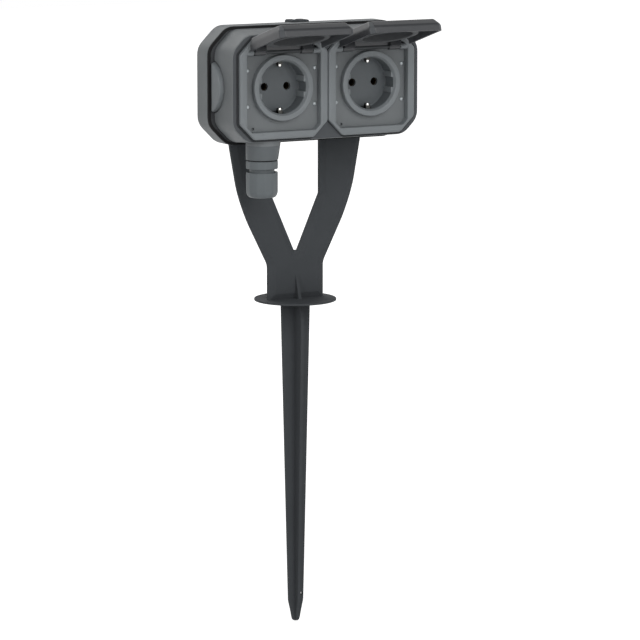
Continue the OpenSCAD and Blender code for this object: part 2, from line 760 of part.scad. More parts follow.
module thrust_ring() color(inner_grey) at_gland(z_nut - nut_h + nut_floor) difference() {
    cylinder(r = outer_thread_r - slip, h = ring_h);
    translate([0, 0, -over]) cylinder(r = cable_r + 0.6, h = ring_h + 2 * over);
}

module gland_nut() color(box_grey) at_gland(z_nut - nut_h) difference() {
    intersection() {
        cylinder(r = nut_r / cos(15), h = nut_h, $fn = 12);
        rotate_extrude() polygon(concat([[0, 0]],
            [for (a = [-90:15:0]) [nut_r - nut_round + nut_round * cos(a), nut_round + nut_round * sin(a)]],
            [[nut_r, nut_h - 0.6], [nut_r - 0.6, nut_h], [0, nut_h]]));
    }
    translate([0, 0, nut_floor]) cylinder(r = outer_thread_r + thread_run, h = nut_h);
    translate([0, 0, -over]) cylinder(r = nut_hole_r, h = nut_h);
}

spike_post();
post_screws();
rear_shell();
shell_seal();
front_cover();
cover_screws();
left_entry_blank();
right_entry_blank();
left_socket_frame();
right_socket_frame();
left_frame_gasket();
right_frame_gasket();
left_socket_insert();
right_socket_insert();
insert_screws();
left_contact_carrier();
right_contact_carrier();
carrier_screws();
left_pin_contacts();
right_pin_contacts();
left_earth_clip();
right_earth_clip();
live_link();
neutral_link();
earth_link();
terminal_nuts();
earth_screws();
left_hinge_rod();
right_hinge_rod();
left_lid();
right_lid();
left_lid_seal();
right_lid_seal();
gland_body();
gland_washer();
gland_seal();
thrust_ring();
gland_nut();
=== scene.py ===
"""Looks of the garden socket post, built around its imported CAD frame.

All sizes are in millimetres, in the frame's own axes: +Z up, the sockets face -Y. A mesh is scaled to
metres when it is made.
"""
import logging
import math
from dataclasses import dataclass
from enum import Enum

import bmesh
import bpy
import numpy as np
from mathutils import Matrix, Vector
from numpy.typing import ArrayLike


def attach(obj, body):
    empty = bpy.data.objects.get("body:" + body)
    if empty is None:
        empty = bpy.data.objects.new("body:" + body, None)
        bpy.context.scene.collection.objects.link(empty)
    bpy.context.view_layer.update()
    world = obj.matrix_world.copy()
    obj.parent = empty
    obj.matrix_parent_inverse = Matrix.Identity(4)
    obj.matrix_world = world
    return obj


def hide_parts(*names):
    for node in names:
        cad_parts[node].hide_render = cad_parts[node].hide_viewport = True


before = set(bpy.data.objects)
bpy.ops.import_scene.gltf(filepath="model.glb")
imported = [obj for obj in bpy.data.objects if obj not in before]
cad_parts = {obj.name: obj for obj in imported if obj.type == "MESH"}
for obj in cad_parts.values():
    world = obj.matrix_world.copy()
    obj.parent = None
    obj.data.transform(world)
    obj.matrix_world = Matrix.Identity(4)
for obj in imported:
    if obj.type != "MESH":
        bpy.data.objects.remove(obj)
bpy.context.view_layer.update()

MM = 0.001
TINY = 1e-9
LOG = logging.getLogger("socket_post")
Array = np.ndarray
STAND = "stand"
WHITE = (1.0, 1.0, 1.0, 1.0)

# Sizes that several classes share: the height of the box's middle, the distance between the sockets, the
# planes of the cover's front, the socket plates and the box's back, and the lids' hinge line.
MID_Z = 169.2
PITCH = 75.0
Y_COVER = -50.4
Y_FLOOR = -48.5
Y_REAR = -3.0
HINGE_Y = -51.5
HINGE_UP = 26.9

# Straight bits in a rounded edge, the share of a line that one rounding may take, and how far a cutting
# shape stands out of the face that it cuts.
ROUND_STEPS = 5
MOST_TRIM = 0.48
CLEAR = 1.0

# What a corner cut loses for each millimetre that its rectangle stands in.
CUT_SHRINK = 2 - math.sqrt(2)

# How a length between two stations is measured, for each of a station's seven values.
STATION_WEIGHTS = np.array([0.5, 0.5, 0.5, 0.5, 0.0, 0.0, 1.0])

# Colour inputs and colour output of a Mix node.
MIX_COLOURS = (6, 7)
MIX_RESULT = 2


class Axis(Enum):
    """Axis that a round shape turns about, or that a flat shape is carried along."""

    X = 0
    Y = 1
    Z = 2


class Carve(Enum):
    """How a second shape acts on a piece."""

    CUT = "DIFFERENCE"
    JOIN = "UNION"


class Side(Enum):
    """Which of the two sockets, seen from the front."""

    LEFT = -1
    RIGHT = 1

    @property
    def label(self) -> str:
        """Lower-case name, as the frame's nodes use it."""
        return self.name.lower()


@dataclass
class Surface:
    """A closed surface of four-cornered faces, with flat caps where it ends.

    Attributes:
        points: Corner points in millimetres, one row each.
        quads: Four point numbers a row.
        caps: Point numbers round each flat end.
    """

    points: Array
    quads: Array
    caps: list[Array]

    def moved(self, matrix: Matrix) -> "Surface":
        """The same surface, turned and shifted.

        Args:
            matrix: Turn and shift in millimetres.

        Returns:
            The moved copy.
        """
        m = np.array(matrix)
        return Surface(self.points @ m[:3, :3].T + m[:3, 3], self.quads, self.caps)


def bent(
    points: ArrayLike, trims: ArrayLike, steps: int, loop: bool = False, weights: ArrayLike = 1.0
) -> Array:
    """Line whose corners are bent into arcs; an open line keeps its two end points.

    A corner P with the trim t becomes P + (1 - s)^2 a + s^2 b for s from 0 to 1, where a and b are the
    steps of length t from P towards the corner before it and after it.

    Args:
        points: Corners, shape (k, d), or (..., k, d) for closed lines.
        trims: Trim of each corner, or one for all.
        steps: Straight bits in each arc.
        loop: True for a closed line.
        weights: Weight of each of the d values when a length is measured.

    Returns:
        Points of shape (..., k * (steps + 1), d), or (2 + (k - 2) * (steps + 1), d) for an open line.
    """
    corners, reach = np.asarray(points, float), np.asarray(trims, float)[..., None]

    def pull(way: int) -> Array:
        """Step from each corner towards its neighbour, at most just under half the way."""
        line = np.roll(corners, way, axis=-2) - corners
        length = np.linalg.norm(line * weights, axis=-1, keepdims=True)
        return line * np.minimum(reach / np.maximum(length, TINY), MOST_TRIM)

    s = np.linspace(0.0, 1.0, steps + 1)[:, None]
    before, after = pull(1)[..., None, :], pull(-1)[..., None, :]
    arcs = corners[..., None, :] + (1 - s) ** 2 * before + s**2 * after
    if loop:
        return arcs.reshape(*corners.shape[:-2], -1, corners.shape[-1])
    inner = arcs[1:-1].reshape(-1, corners.shape[-1])
    return np.concatenate([corners[:1], inner, corners[-1:]])


def skin(rings: Array, loop: bool = False) -> Surface:
    """Closed surface through a row of rings.

    Args:
        rings: Points of shape (rings, points on a ring, 3).
        loop: True where the last ring joins the first, so that no caps are needed.

    Returns:
        The surface.
    """
    count, around, _ = rings.shape
    index = np.arange(count * around).reshape(count, around)
    ahead = np.roll(index, -1, axis=0)
    beside = np.roll(index, -1, axis=1)
    quads = np.stack([index, beside, np.roll(ahead, -1, axis=1), ahead], axis=-1)
    caps = [] if loop else [index[0], index[-1][::-1]]
    return Surface(rings.reshape(-1, 3), (quads if loop else quads[:-1]).reshape(-1, 4), caps)


def cut_corner_rings(stations: Array, steps: int) -> Array:
    """Rectangles with cut corners, one at each station.

    A station is x0, x1, z0, z1, corner cut, corner radius, y. The eight corners of the cut rectangle are
    bent with the trim radius * tan(22.5 degrees).

    Args:
        stations: Shape (m, 7).
        steps: Straight bits in each bent corner.

    Returns:
        Points of shape (m, 8 * (steps + 1), 3).
    """
    x0, x1, z0, z1, cut, radius, y = stations.T
    xs = np.stack([x1 - cut, x1, x1, x1 - cut, x0 + cut, x0, x0, x0 + cut], axis=1)
    zs = np.stack([z0, z0 + cut, z1 - cut, z1, z1, z1 - cut, z0 + cut, z0], axis=1)
    trims = (radius * math.tan(math.pi / 8))[:, None]
    flat = bent(np.stack([xs, zs], axis=-1), trims, steps, loop=True)
    ys = np.broadcast_to(y[:, None], flat.shape[:2])
    return np.stack([flat[..., 0], ys, flat[..., 1]], axis=-1)


def loft(
    stations: list[list[float]], trims: list[float], loop: bool = False, steps: int = ROUND_STEPS
) -> Surface:
    """Cut-corner rectangles carried along a bent line of stations.

    Args:
        stations: See cut_corner_rings.
        trims: How far each station's edge is rounded.
        loop: True for a ring-shaped piece, whose last station joins the first.
        steps: Straight bits in each rounding.

    Returns:
        The surface.
    """
    line = bent(stations, trims, steps, loop, STATION_WEIGHTS)
    return skin(cut_corner_rings(line, steps + 1), loop)


def slab(low: tuple, high: tuple, radius: float) -> Surface:
    """Block between two corners with all its edges rounded.

    Args:
        low: Lowest corner.
        high: Highest corner.
        radius: Rounding of the edges.

    Returns:
        The surface.
    """
    (x0, y0, z0), (x1, y1, z1) = low, high
    inner = [x0 + radius, x1 - radius, z0 + radius, z1 - radius, radius / 2, radius]
    outer = [x0, x1, z0, z1, radius / 2, radius]
    stations = [[*inner, y0], [*outer, y0], [*outer, y1], [*inner, y1]]
    return loft(stations, [0, radius, radius, 0], steps=3)


def revolve(
    profile: list, trims: list, centre: tuple, axis: Axis, sides: int = 72, loop: bool = False
) -> Surface:
    """Profile turned about an axis: a radius r at the height h gives the circle r cos t, r sin t, h.

    Args:
        profile: Rows of radius and height.
        trims: How far each corner of the profile is rounded.
        centre: Point that the axis goes through.
        axis: Axis to turn about; heights run along it.
        sides: Points on each circle.
        loop: True for a ring, whose profile closes on itself.

    Returns:
        The surface.
    """
    line = bent(profile, trims, ROUND_STEPS, loop)
    turn = np.linspace(0.0, 2 * math.pi, sides, endpoint=False)
    return skin(circle_rings(line[:, :1], line[:, 1:], turn, axis) + np.array(centre), loop)


def circle_rings(radius: Array, height: Array, turn: Array, axis: Axis) -> Array:
    """Circles about an axis; radius and height may differ along the circle.

    Args:
        radius: Shape (m, 1) or (m, n).
        height: Shape (m, 1).
        turn: Angles, shape (n,).
        axis: Axis that the circles go round.

    Returns:
        Points of shape (m, n, 3).
    """
    a = radius * np.cos(turn)
    b = radius * np.sin(turn)
    along = np.broadcast_to(height, a.shape)
    order = {Axis.X: (along, a, b), Axis.Y: (a, along, b), Axis.Z: (a, b, along)}
    return np.stack(order[axis], axis=-1)


def rod(radius: float, axis: Axis, centre: tuple, start: float, end: float) -> Surface:
    """Plain round bar, for cutting holes and for small ends.

    Args:
        radius: Radius of the bar.
        axis: Axis that it lies along.
        centre: Point on that axis.
        start: Where it starts, along the axis from the centre.
        end: Where it ends.

    Returns:
        The surface.
    """
    return revolve([[radius, start], [radius, end]], [0, 0], centre, axis, sides=48)


def plate(corners: ArrayLike, trims: ArrayLike, profile: list, edge: list, axis: Axis) -> Surface:
    """Flat outline with shaped edges.

    Each corner moves in along its mitre, P - i (p + q) / (1 + p.q), where p and q are the outward normals
    of the two edges and i is the inset that the profile gives at that depth.

    Args:
        corners: Outline, anticlockwise, shape (k, 2): X and Z, or Y and Z where the axis is X.
        trims: How far each corner of the outline is rounded, or one value for all.
        profile: Rows of inset and depth, from one face to the other.
        edge: How far each corner of the profile is rounded.
        axis: Axis that the depth runs along.

    Returns:
        The surface.
    """
    edge_steps, corner_steps = 4, 8
    outline, line = np.asarray(corners, float), bent(profile, edge, edge_steps)
    ahead = np.roll(outline, -1, axis=0) - outline
    q = np.stack([ahead[:, 1], -ahead[:, 0]], axis=1) / np.linalg.norm(ahead, axis=1, keepdims=True)
    p = np.roll(q, 1, axis=0)
    mitre = (p + q) / (1 + (p * q).sum(axis=1, keepdims=True))
    flat = outline[None] - line[:, :1, None] * mitre[None]
    rings = bent(flat, trims, corner_steps, loop=True)
    a, b = rings[..., 0], rings[..., 1]
    depth = np.broadcast_to(line[:, 1:], a.shape)
    return skin(np.stack((depth, a, b) if axis is Axis.X else (a, depth, b), axis=-1))


def make_piece(name: str, *surfaces: Surface) -> bpy.types.Object:
    """One mesh object from closed surfaces, its faces pointing outwards.

    Args:
        name: Name of the object.
        *surfaces: Closed surfaces in millimetres.

    Returns:
        The object, at the origin.
    """
    starts = np.cumsum([0] + [len(s.points) for s in surfaces])
    points = np.concatenate([s.points for s in surfaces]) * MM
    faces = []
    for start, surface in zip(starts, surfaces):
        faces += (surface.quads + start).tolist()
        faces += [(cap + start).tolist() for cap in surface.caps]
    mesh = bpy.data.meshes.new(name)
    mesh.from_pydata(points.tolist(), [], faces)
    turn_outwards(mesh)
    piece = bpy.data.objects.new(name, mesh)
    bpy.context.scene.collection.objects.link(piece)
    return piece


def turn_outwards(mesh: bpy.types.Mesh) -> None:
    """Makes every face of a closed mesh point outwards.

    Args:
        mesh: Mesh to mend.
    """
    work = bmesh.new()
    work.from_mesh(mesh)
    bmesh.ops.remove_doubles(work, verts=work.verts, dist=1e-7)
    bmesh.ops.recalc_face_normals(work, faces=work.faces)
    work.to_mesh(mesh)
    work.free()


def carve(piece: bpy.types.Object, how: Carve, *surfaces: Surface) -> None:
    """Cuts shapes out of a piece, or joins them to it.

    Args:
        piece: Piece to change.
        how: Cut or join.
        *surfaces: Closed shapes, taken one after the other.
    """
    for surface in surfaces:
        tool = make_piece("tool", surface)
        change = piece.modifiers.new("change", "BOOLEAN")
        change.operation = how.value
        change.solver = "EXACT"
        change.object = tool
        graph = bpy.context.evaluated_depsgraph_get()
        mesh = bpy.data.meshes.new_from_object(piece.evaluated_get(graph))
        piece.modifiers.clear()
        old, piece.data = piece.data, mesh
        mesh.name = piece.name
        bpy.data.meshes.remove(old)
        bpy.data.meshes.remove(tool.data)


def smooth(piece: bpy.types.Object, angle: float) -> None:
    """Smooth shading that keeps flat faces flat and sharp edges sharp.

    Args:
        piece: Piece to finish.
        angle: Edges sharper than this stay sharp, in degrees.
    """
    piece.data.shade_smooth()
    piece.data.set_sharp_from_angle(angle=math.radians(angle))
    even = piece.modifiers.new("even_shading", "WEIGHTED_NORMAL")
    even.keep_sharp = True


def linear(value: float) -> float:
    """Linear light of one sRGB channel from 0 to 255."""
    part = value / 255
    return part / 12.92 if part <= 0.04045 else ((part + 0.055) / 1.055) ** 2.4


def colour(rgb: tuple[float, float, float], gain: float) -> tuple[float, ...]:
    """Linear colour of an sRGB one from 0 to 255, made lighter or darker by a gain."""
    return (*(linear(value) * gain for value in rgb), 1.0)


class Graph:
    """Adds nodes to a node tree and links them."""

    def __init__(self, tree: bpy.types.NodeTree) -> None:
        """Keeps the tree that the nodes go into."""
        self.tree = tree

    def feed(self, socket: bpy.types.NodeSocket, value: object) -> None:
        """Links an output to an input socket, or sets the socket's own value."""
        if isinstance(value, bpy.types.NodeSocket):
            self.tree.links.new(value, socket)
        else:
            socket.default_value = value

    def add(self, kind: str, settings: dict | None = None, **inputs: object) -> bpy.types.Node:
        """New node.

        Args:
            kind: Blender's name for the node.
            settings: Attributes to set on it.
            **inputs: Values or output sockets for its inputs, by name with _ for a space.

        Returns:
            The node.
        """
        node = self.tree.nodes.new(kind)
        for name, value in (settings or {}).items():
            setattr(node, name, value)
        for name, value in inputs.items():
            self.feed(node.inputs[name.replace("_", " ")], value)
        return node

    def math(self, operation: str, *values: object) -> bpy.types.NodeSocket:
        """Output of a Math node on two values or sockets."""
        node = self.add("ShaderNodeMath", {"operation": operation})
        for socket, value in zip(node.inputs, values):
            self.feed(socket, value)
        return node.outputs[0]

    def vector(self, operation: str, *values: object) -> bpy.types.Node:
        """Vector Math node on one or two vectors or sockets."""
        node = self.add("ShaderNodeVectorMath", {"operation": operation})
        for socket, value in zip(node.inputs, values):
            self.feed(socket, value)
        return node

    def spread(self, value: bpy.types.NodeSocket, low: float, high: float) -> bpy.types.NodeSocket:
        """Output of a Map Range node that takes the middle of a noise to low..high."""
        middle = {"From_Min": 0.3, "From_Max": 0.7}
        node = self.add("ShaderNodeMapRange", Value=value, To_Min=low, To_Max=high, **middle)
        return node.outputs["Result"]

    def blend(self, mask: bpy.types.NodeSocket, *colours: tuple) -> bpy.types.NodeSocket:
        """Colour output of a Mix node between two colours."""
        node = self.add("ShaderNodeMix", {"data_type": "RGBA"}, Factor=mask)
        for index, value in zip(MIX_COLOURS, colours):
            self.feed(node.inputs[index], value)
        return node.outputs[MIX_RESULT]


def new_group(
    name: str, inputs: dict[str, float], outputs: list[str]
) -> tuple[Graph, dict[str, bpy.types.NodeSocket], bpy.types.Node]:
    """Empty shader node group with a Vector input and named values.

    Args:
        name: Name of the group.
        inputs: Value inputs and their defaults.
        outputs: Value outputs.

    Returns:
        Its graph, its input sockets by name, and its output node.
    """
    tree = bpy.data.node_groups.new(name, "ShaderNodeTree")
    tree.interface.new_socket("Vector", in_out="INPUT", socket_type="NodeSocketVector")
    for label, value in inputs.items():
        socket = tree.interface.new_socket(label, in_out="INPUT", socket_type="NodeSocketFloat")
        socket.default_value = value
    for label in outputs:
        tree.interface.new_socket(label, in_out="OUTPUT", socket_type="NodeSocketFloat")
    graph = Graph(tree)
    source = graph.add("NodeGroupInput")
    return graph, {s.name: s for s in source.outputs}, graph.add("NodeGroupOutput")


def moulded_grain() -> bpy.types.NodeTree:
    """Node group for moulded plastic: fine pebbled height, slow drift of tone, and patches of gloss."""
    values = {"Pebble": 2200.0, "Drift": 14.0}
    graph, given, out = new_group("moulded_grain", values, ["Height", "Tone", "Gloss"])
    vector, pebble, drift = given["Vector"], given["Pebble"], given["Drift"]
    noise = "ShaderNodeTexNoise"
    fine = graph.add(noise, Vector=vector, Scale=pebble, Detail=2.0, Roughness=0.6)
    cells = graph.add("ShaderNodeTexVoronoi", {"feature": "SMOOTH_F1"}, Vector=vector, Scale=pebble)
    slow = graph.add(noise, Vector=vector, Scale=drift, Detail=3.0, Roughness=0.55)
    patch_scale = graph.math("MULTIPLY", drift, 5.0)
    patches = graph.add(noise, Vector=vector, Scale=patch_scale, Detail=4.0, Roughness=0.65)
    graph.feed(out.inputs["Height"], graph.math("ADD", fine.outputs[0], cells.outputs["Distance"]))
    graph.feed(out.inputs["Tone"], slow.outputs[0])
    graph.feed(out.inputs["Gloss"], patches.outputs[0])
    return graph.tree


def drawn_lines() -> bpy.types.NodeTree:
    """Node group for worked metal: fine lines along X and a slow drift of tone."""
    graph, given, out = new_group("drawn_lines", {"Lines": 3000.0}, ["Height", "Tone"])
    along_x = (0.04, 1.0, 1.0)
    stretched = graph.vector("MULTIPLY", given["Vector"], along_x).outputs[0]
    lines = graph.add("ShaderNodeTexNoise", Vector=stretched, Scale=given["Lines"], Detail=3.0)
    slow = graph.add("ShaderNodeTexNoise", Vector=given["Vector"], Scale=90.0, Detail=3.0)
    graph.feed(out.inputs["Height"], lines.outputs[0])
    graph.feed(out.inputs["Tone"], slow.outputs[0])
    return graph.tree


@dataclass(frozen=True)
class Finish:
    """One material: its colour, gloss and surface grain.

    Attributes:
        name: Name of the material, in plain words.
        slot: Material slot that it stands for; not used.
        rgb: sRGB colour from 0 to 255.
        roughness: Roughness in the middle of its range.
        roughness_spread: How far the roughness drifts either way.
        drift: Share by which the colour drifts lighter and darker.
        pebble: Scale of the fine grain, in cells a metre.
        bump: Strength of the grain.
        metallic: 1 for bare metal.
        specular: Strength of the shine; 0.5 is plain plastic.
        grain_height: Height of the grain at full strength.
    """

    name: str
    slot: str
    rgb: tuple[float, float, float]
    roughness: float
    roughness_spread: float = 0.05
    drift: float = 0.06
    pebble: float = 2200.0
    bump: float = 0.12
    metallic: float = 0.0
    specular: float = 0.5
    grain_height: float = 0.15

    def material(self) -> bpy.types.Material:
        """The material, made on its first use."""
        made = bpy.data.materials.get(self.name)
        return made if made else self.make()

    def make(self) -> bpy.types.Material:
        """Builds the material's nodes.

        Returns:
            The new material.
        """
        made = bpy.data.materials.new(self.name)
        made.use_nodes = True
        graph = Graph(made.node_tree)
        place = graph.add("ShaderNodeTexCoord").outputs["Object"]
        grain = graph.add("ShaderNodeGroup", {"node_tree": self.group()}, Vector=place)
        tone, gloss = self.tune(grain)
        dark, light = colour(self.rgb, 1 - self.drift), colour(self.rgb, 1 + self.drift)
        mask = graph.spread(tone, 0.0, 1.0)
        low, high = self.roughness - self.roughness_spread, self.roughness + self.roughness_spread
        relief = {"Strength": self.bump, "Distance": self.grain_height * MM}
        bump = graph.add("ShaderNodeBump", Height=grain.outputs["Height"], **relief)
        look = {
            "Base Color": graph.blend(mask, dark, light),
            "Roughness": graph.spread(gloss, low, high),
            "Normal": bump.outputs[0],
            "Metallic": self.metallic,
            "Specular IOR Level": self.specular,
        }
        for name, value in look.items():
            graph.feed(made.node_tree.nodes["Principled BSDF"].inputs[name], value)
        return made

    def group(self) -> bpy.types.NodeTree:
        """Node group that gives the surface its grain, built once."""
        name = "drawn_lines" if self.metallic else "moulded_grain"
        maker = drawn_lines if self.metallic else moulded_grain
        return bpy.data.node_groups.get(name) or maker()

    def tune(self, grain: bpy.types.Node) -> tuple[bpy.types.NodeSocket, bpy.types.NodeSocket]:
        """Sets the grain's scale.

        Args:
            grain: Group node in the material.

        Returns:
            The outputs for tone and for gloss.
        """
        if self.metallic:
            grain.inputs["Lines"].default_value = self.pebble
            return grain.outputs["Tone"], grain.outputs["Height"]
        grain.inputs["Pebble"].default_value = self.pebble
        return grain.outputs["Tone"], grain.outputs["Gloss"]


def rubber(
    name: str, rgb: tuple[float, float, float], roughness: float = 0.75, specular: float = 0.2
) -> Finish:
    """Finish of a rubber piece, with a coarser grain than plastic has."""
    return Finish(name, "seal_rubber", rgb, roughness, pebble=1500.0, bump=0.15, specular=specular)


BOX_GREY = Finish("slate_grey_plastic", "box_plastic", (112, 116, 118), 0.56, specular=0.4)
# Darker copy of the box plastic for the inside of the cups: painted shade, the shade that falls deep in
# each cup.
SHADED_CUP_GREY = Finish("cup_painted_shade_plastic", "box_plastic", (92, 97, 100), 0.5, specular=0.4)
# Darker copy of the box plastic for the spout: painted shade under the box.
SHADED_SPOUT_GREY = Finish("spout_painted_shade_plastic", "box_plastic", (90, 95, 98), 0.52, specular=0.4)
# Darker copy of the box plastic for the cover's front plane: painted shade round and between the socket
# frames.
SHADED_COVER_FRONT = Finish("cover_front_painted_shade", "box_plastic", (82, 85, 88), 0.7, specular=0.2)
# Lighter grey of the socket frames; on the insert's raised ring and guide keys it is a painted highlight.
FRAME_AND_LIT_GREY = Finish("frame_grey_and_painted_highlight_plastic", "box_plastic", (120, 125, 128), 0.5, specular=0.45)
BLANK_GREY = Finish("pale_slate_plastic", "blank_plastic", (122, 127, 130), 0.54, specular=0.4)
LID_GREY = Finish("lid_slate_plastic", "lid_plastic", (58, 60, 63), 0.34, bump=0.05, specular=0.45)
# Lighter copy of the lid plastic for the lid's inside: painted light.
LIT_LID_INSIDE = Finish("lid_inside_painted_light_plastic", "lid_plastic", (82, 85, 88), 0.6, specular=0.3)
GLAND_GREY = Finish("gland_grey_plastic", "gland_plastic", (97, 103, 106), 0.5, specular=0.4)
POST_GREY = Finish(
    "anthracite_plastic", "post_plastic", (66, 69, 72), 0.72, pebble=1700.0, bump=0.16, specular=0.2
)
INNER_GREY = Finish("inner_grey_plastic", "inner_plastic", (70, 73, 75), 0.6, specular=0.3)
SEAL_BLACK = rubber("black_rubber", (24, 24, 25))
# Grey for the seal's foot: painted shade grading out of the groove between the shells.
SHADED_SEAL_FOOT = rubber("seal_foot_painted_shade_rubber", (64, 66, 68))
GASKET_RUBBER = rubber("grey_rubber", (52, 54, 56))
LID_SEAL = rubber("lid_rubber", (84, 86, 88), 0.7, 0.3)
ZINC = Finish("bright_zinc", "zinc_steel", (205, 208, 210), 0.28, metallic=1.0, bump=0.08)
DULL_ZINC = Finish("dull_zinc", "zinc_steel", (150, 156, 158), 0.48, metallic=1.0, bump=0.1)
# Bright copy of the clip steel for the spring's noses: painted highlight.
LIT_CLIP_METAL = Finish("clip_metal_painted_highlight", "clip_steel", (232, 231, 228), 0.22, metallic=1.0, bump=0.05)
# Darkened copy of the clip steel: painted shade on the earth spring.
SHADED_CLIP_STEEL = Finish("clip_steel_painted_shade", "clip_steel", (66, 66, 64), 0.45, metallic=1.0, bump=0.08)
BRASS = Finish("bright_brass", "contact_brass", (205, 170, 96), 0.3, metallic=1.0, bump=0.08)
# Darkened brass for the pin contacts: painted shade deep in the pin holes.
SHADED_BRASS = Finish("brass_painted_shade", "contact_brass", (46, 38, 26), 0.65, metallic=1.0, bump=0.1)


def settle(
    piece: bpy.types.Object, finish: Finish, body: str, *stands_for: str, angle: float = 32.0
) -> None:
    """Shades a finished piece, puts it on its body and hides the CAD nodes that it stands for.

    Args:
        piece: Finished piece.
        finish: Its material.
        body: CAD body that it moves with.
        *stands_for: CAD nodes that it replaces.
        angle: Edges sharper than this stay sharp, in degrees.
    """
    smooth(piece, angle)
    piece.data.materials.clear()
    piece.data.materials.append(finish.material())
    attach(piece, body)
    if stands_for:
        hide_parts(*stands_for)
    LOG.info("%s on %s: %d faces", piece.name, body, len(piece.data.polygons))


def face_middles(piece: bpy.types.Object, start: tuple) -> Array:
    """Middles of a piece's faces.

    Args:
        piece: Piece to read.
        start: Point to measure from, in millimetres.

    Returns:
        Three rows: x, y and z.
    """
    middles = np.empty(3 * len(piece.data.polygons))
    piece.data.polygons.foreach_get("center", middles)
    return (middles.reshape(-1, 3) / MM - np.array(start)).T


def refinish(piece: bpy.types.Object, finish: Finish, mask: Array) -> None:
    """Gives some faces of a settled piece a further finish.

    Args:
        piece: Settled piece.
        finish: Further finish.
        mask: True for each face that takes it.
    """
    slots = np.empty(len(piece.data.polygons), np.int32)
    piece.data.polygons.foreach_get("material_index", slots)
    slots[mask] = len(piece.data.materials)
    piece.data.materials.append(finish.material())
    piece.data.polygons.foreach_set("material_index", slots)


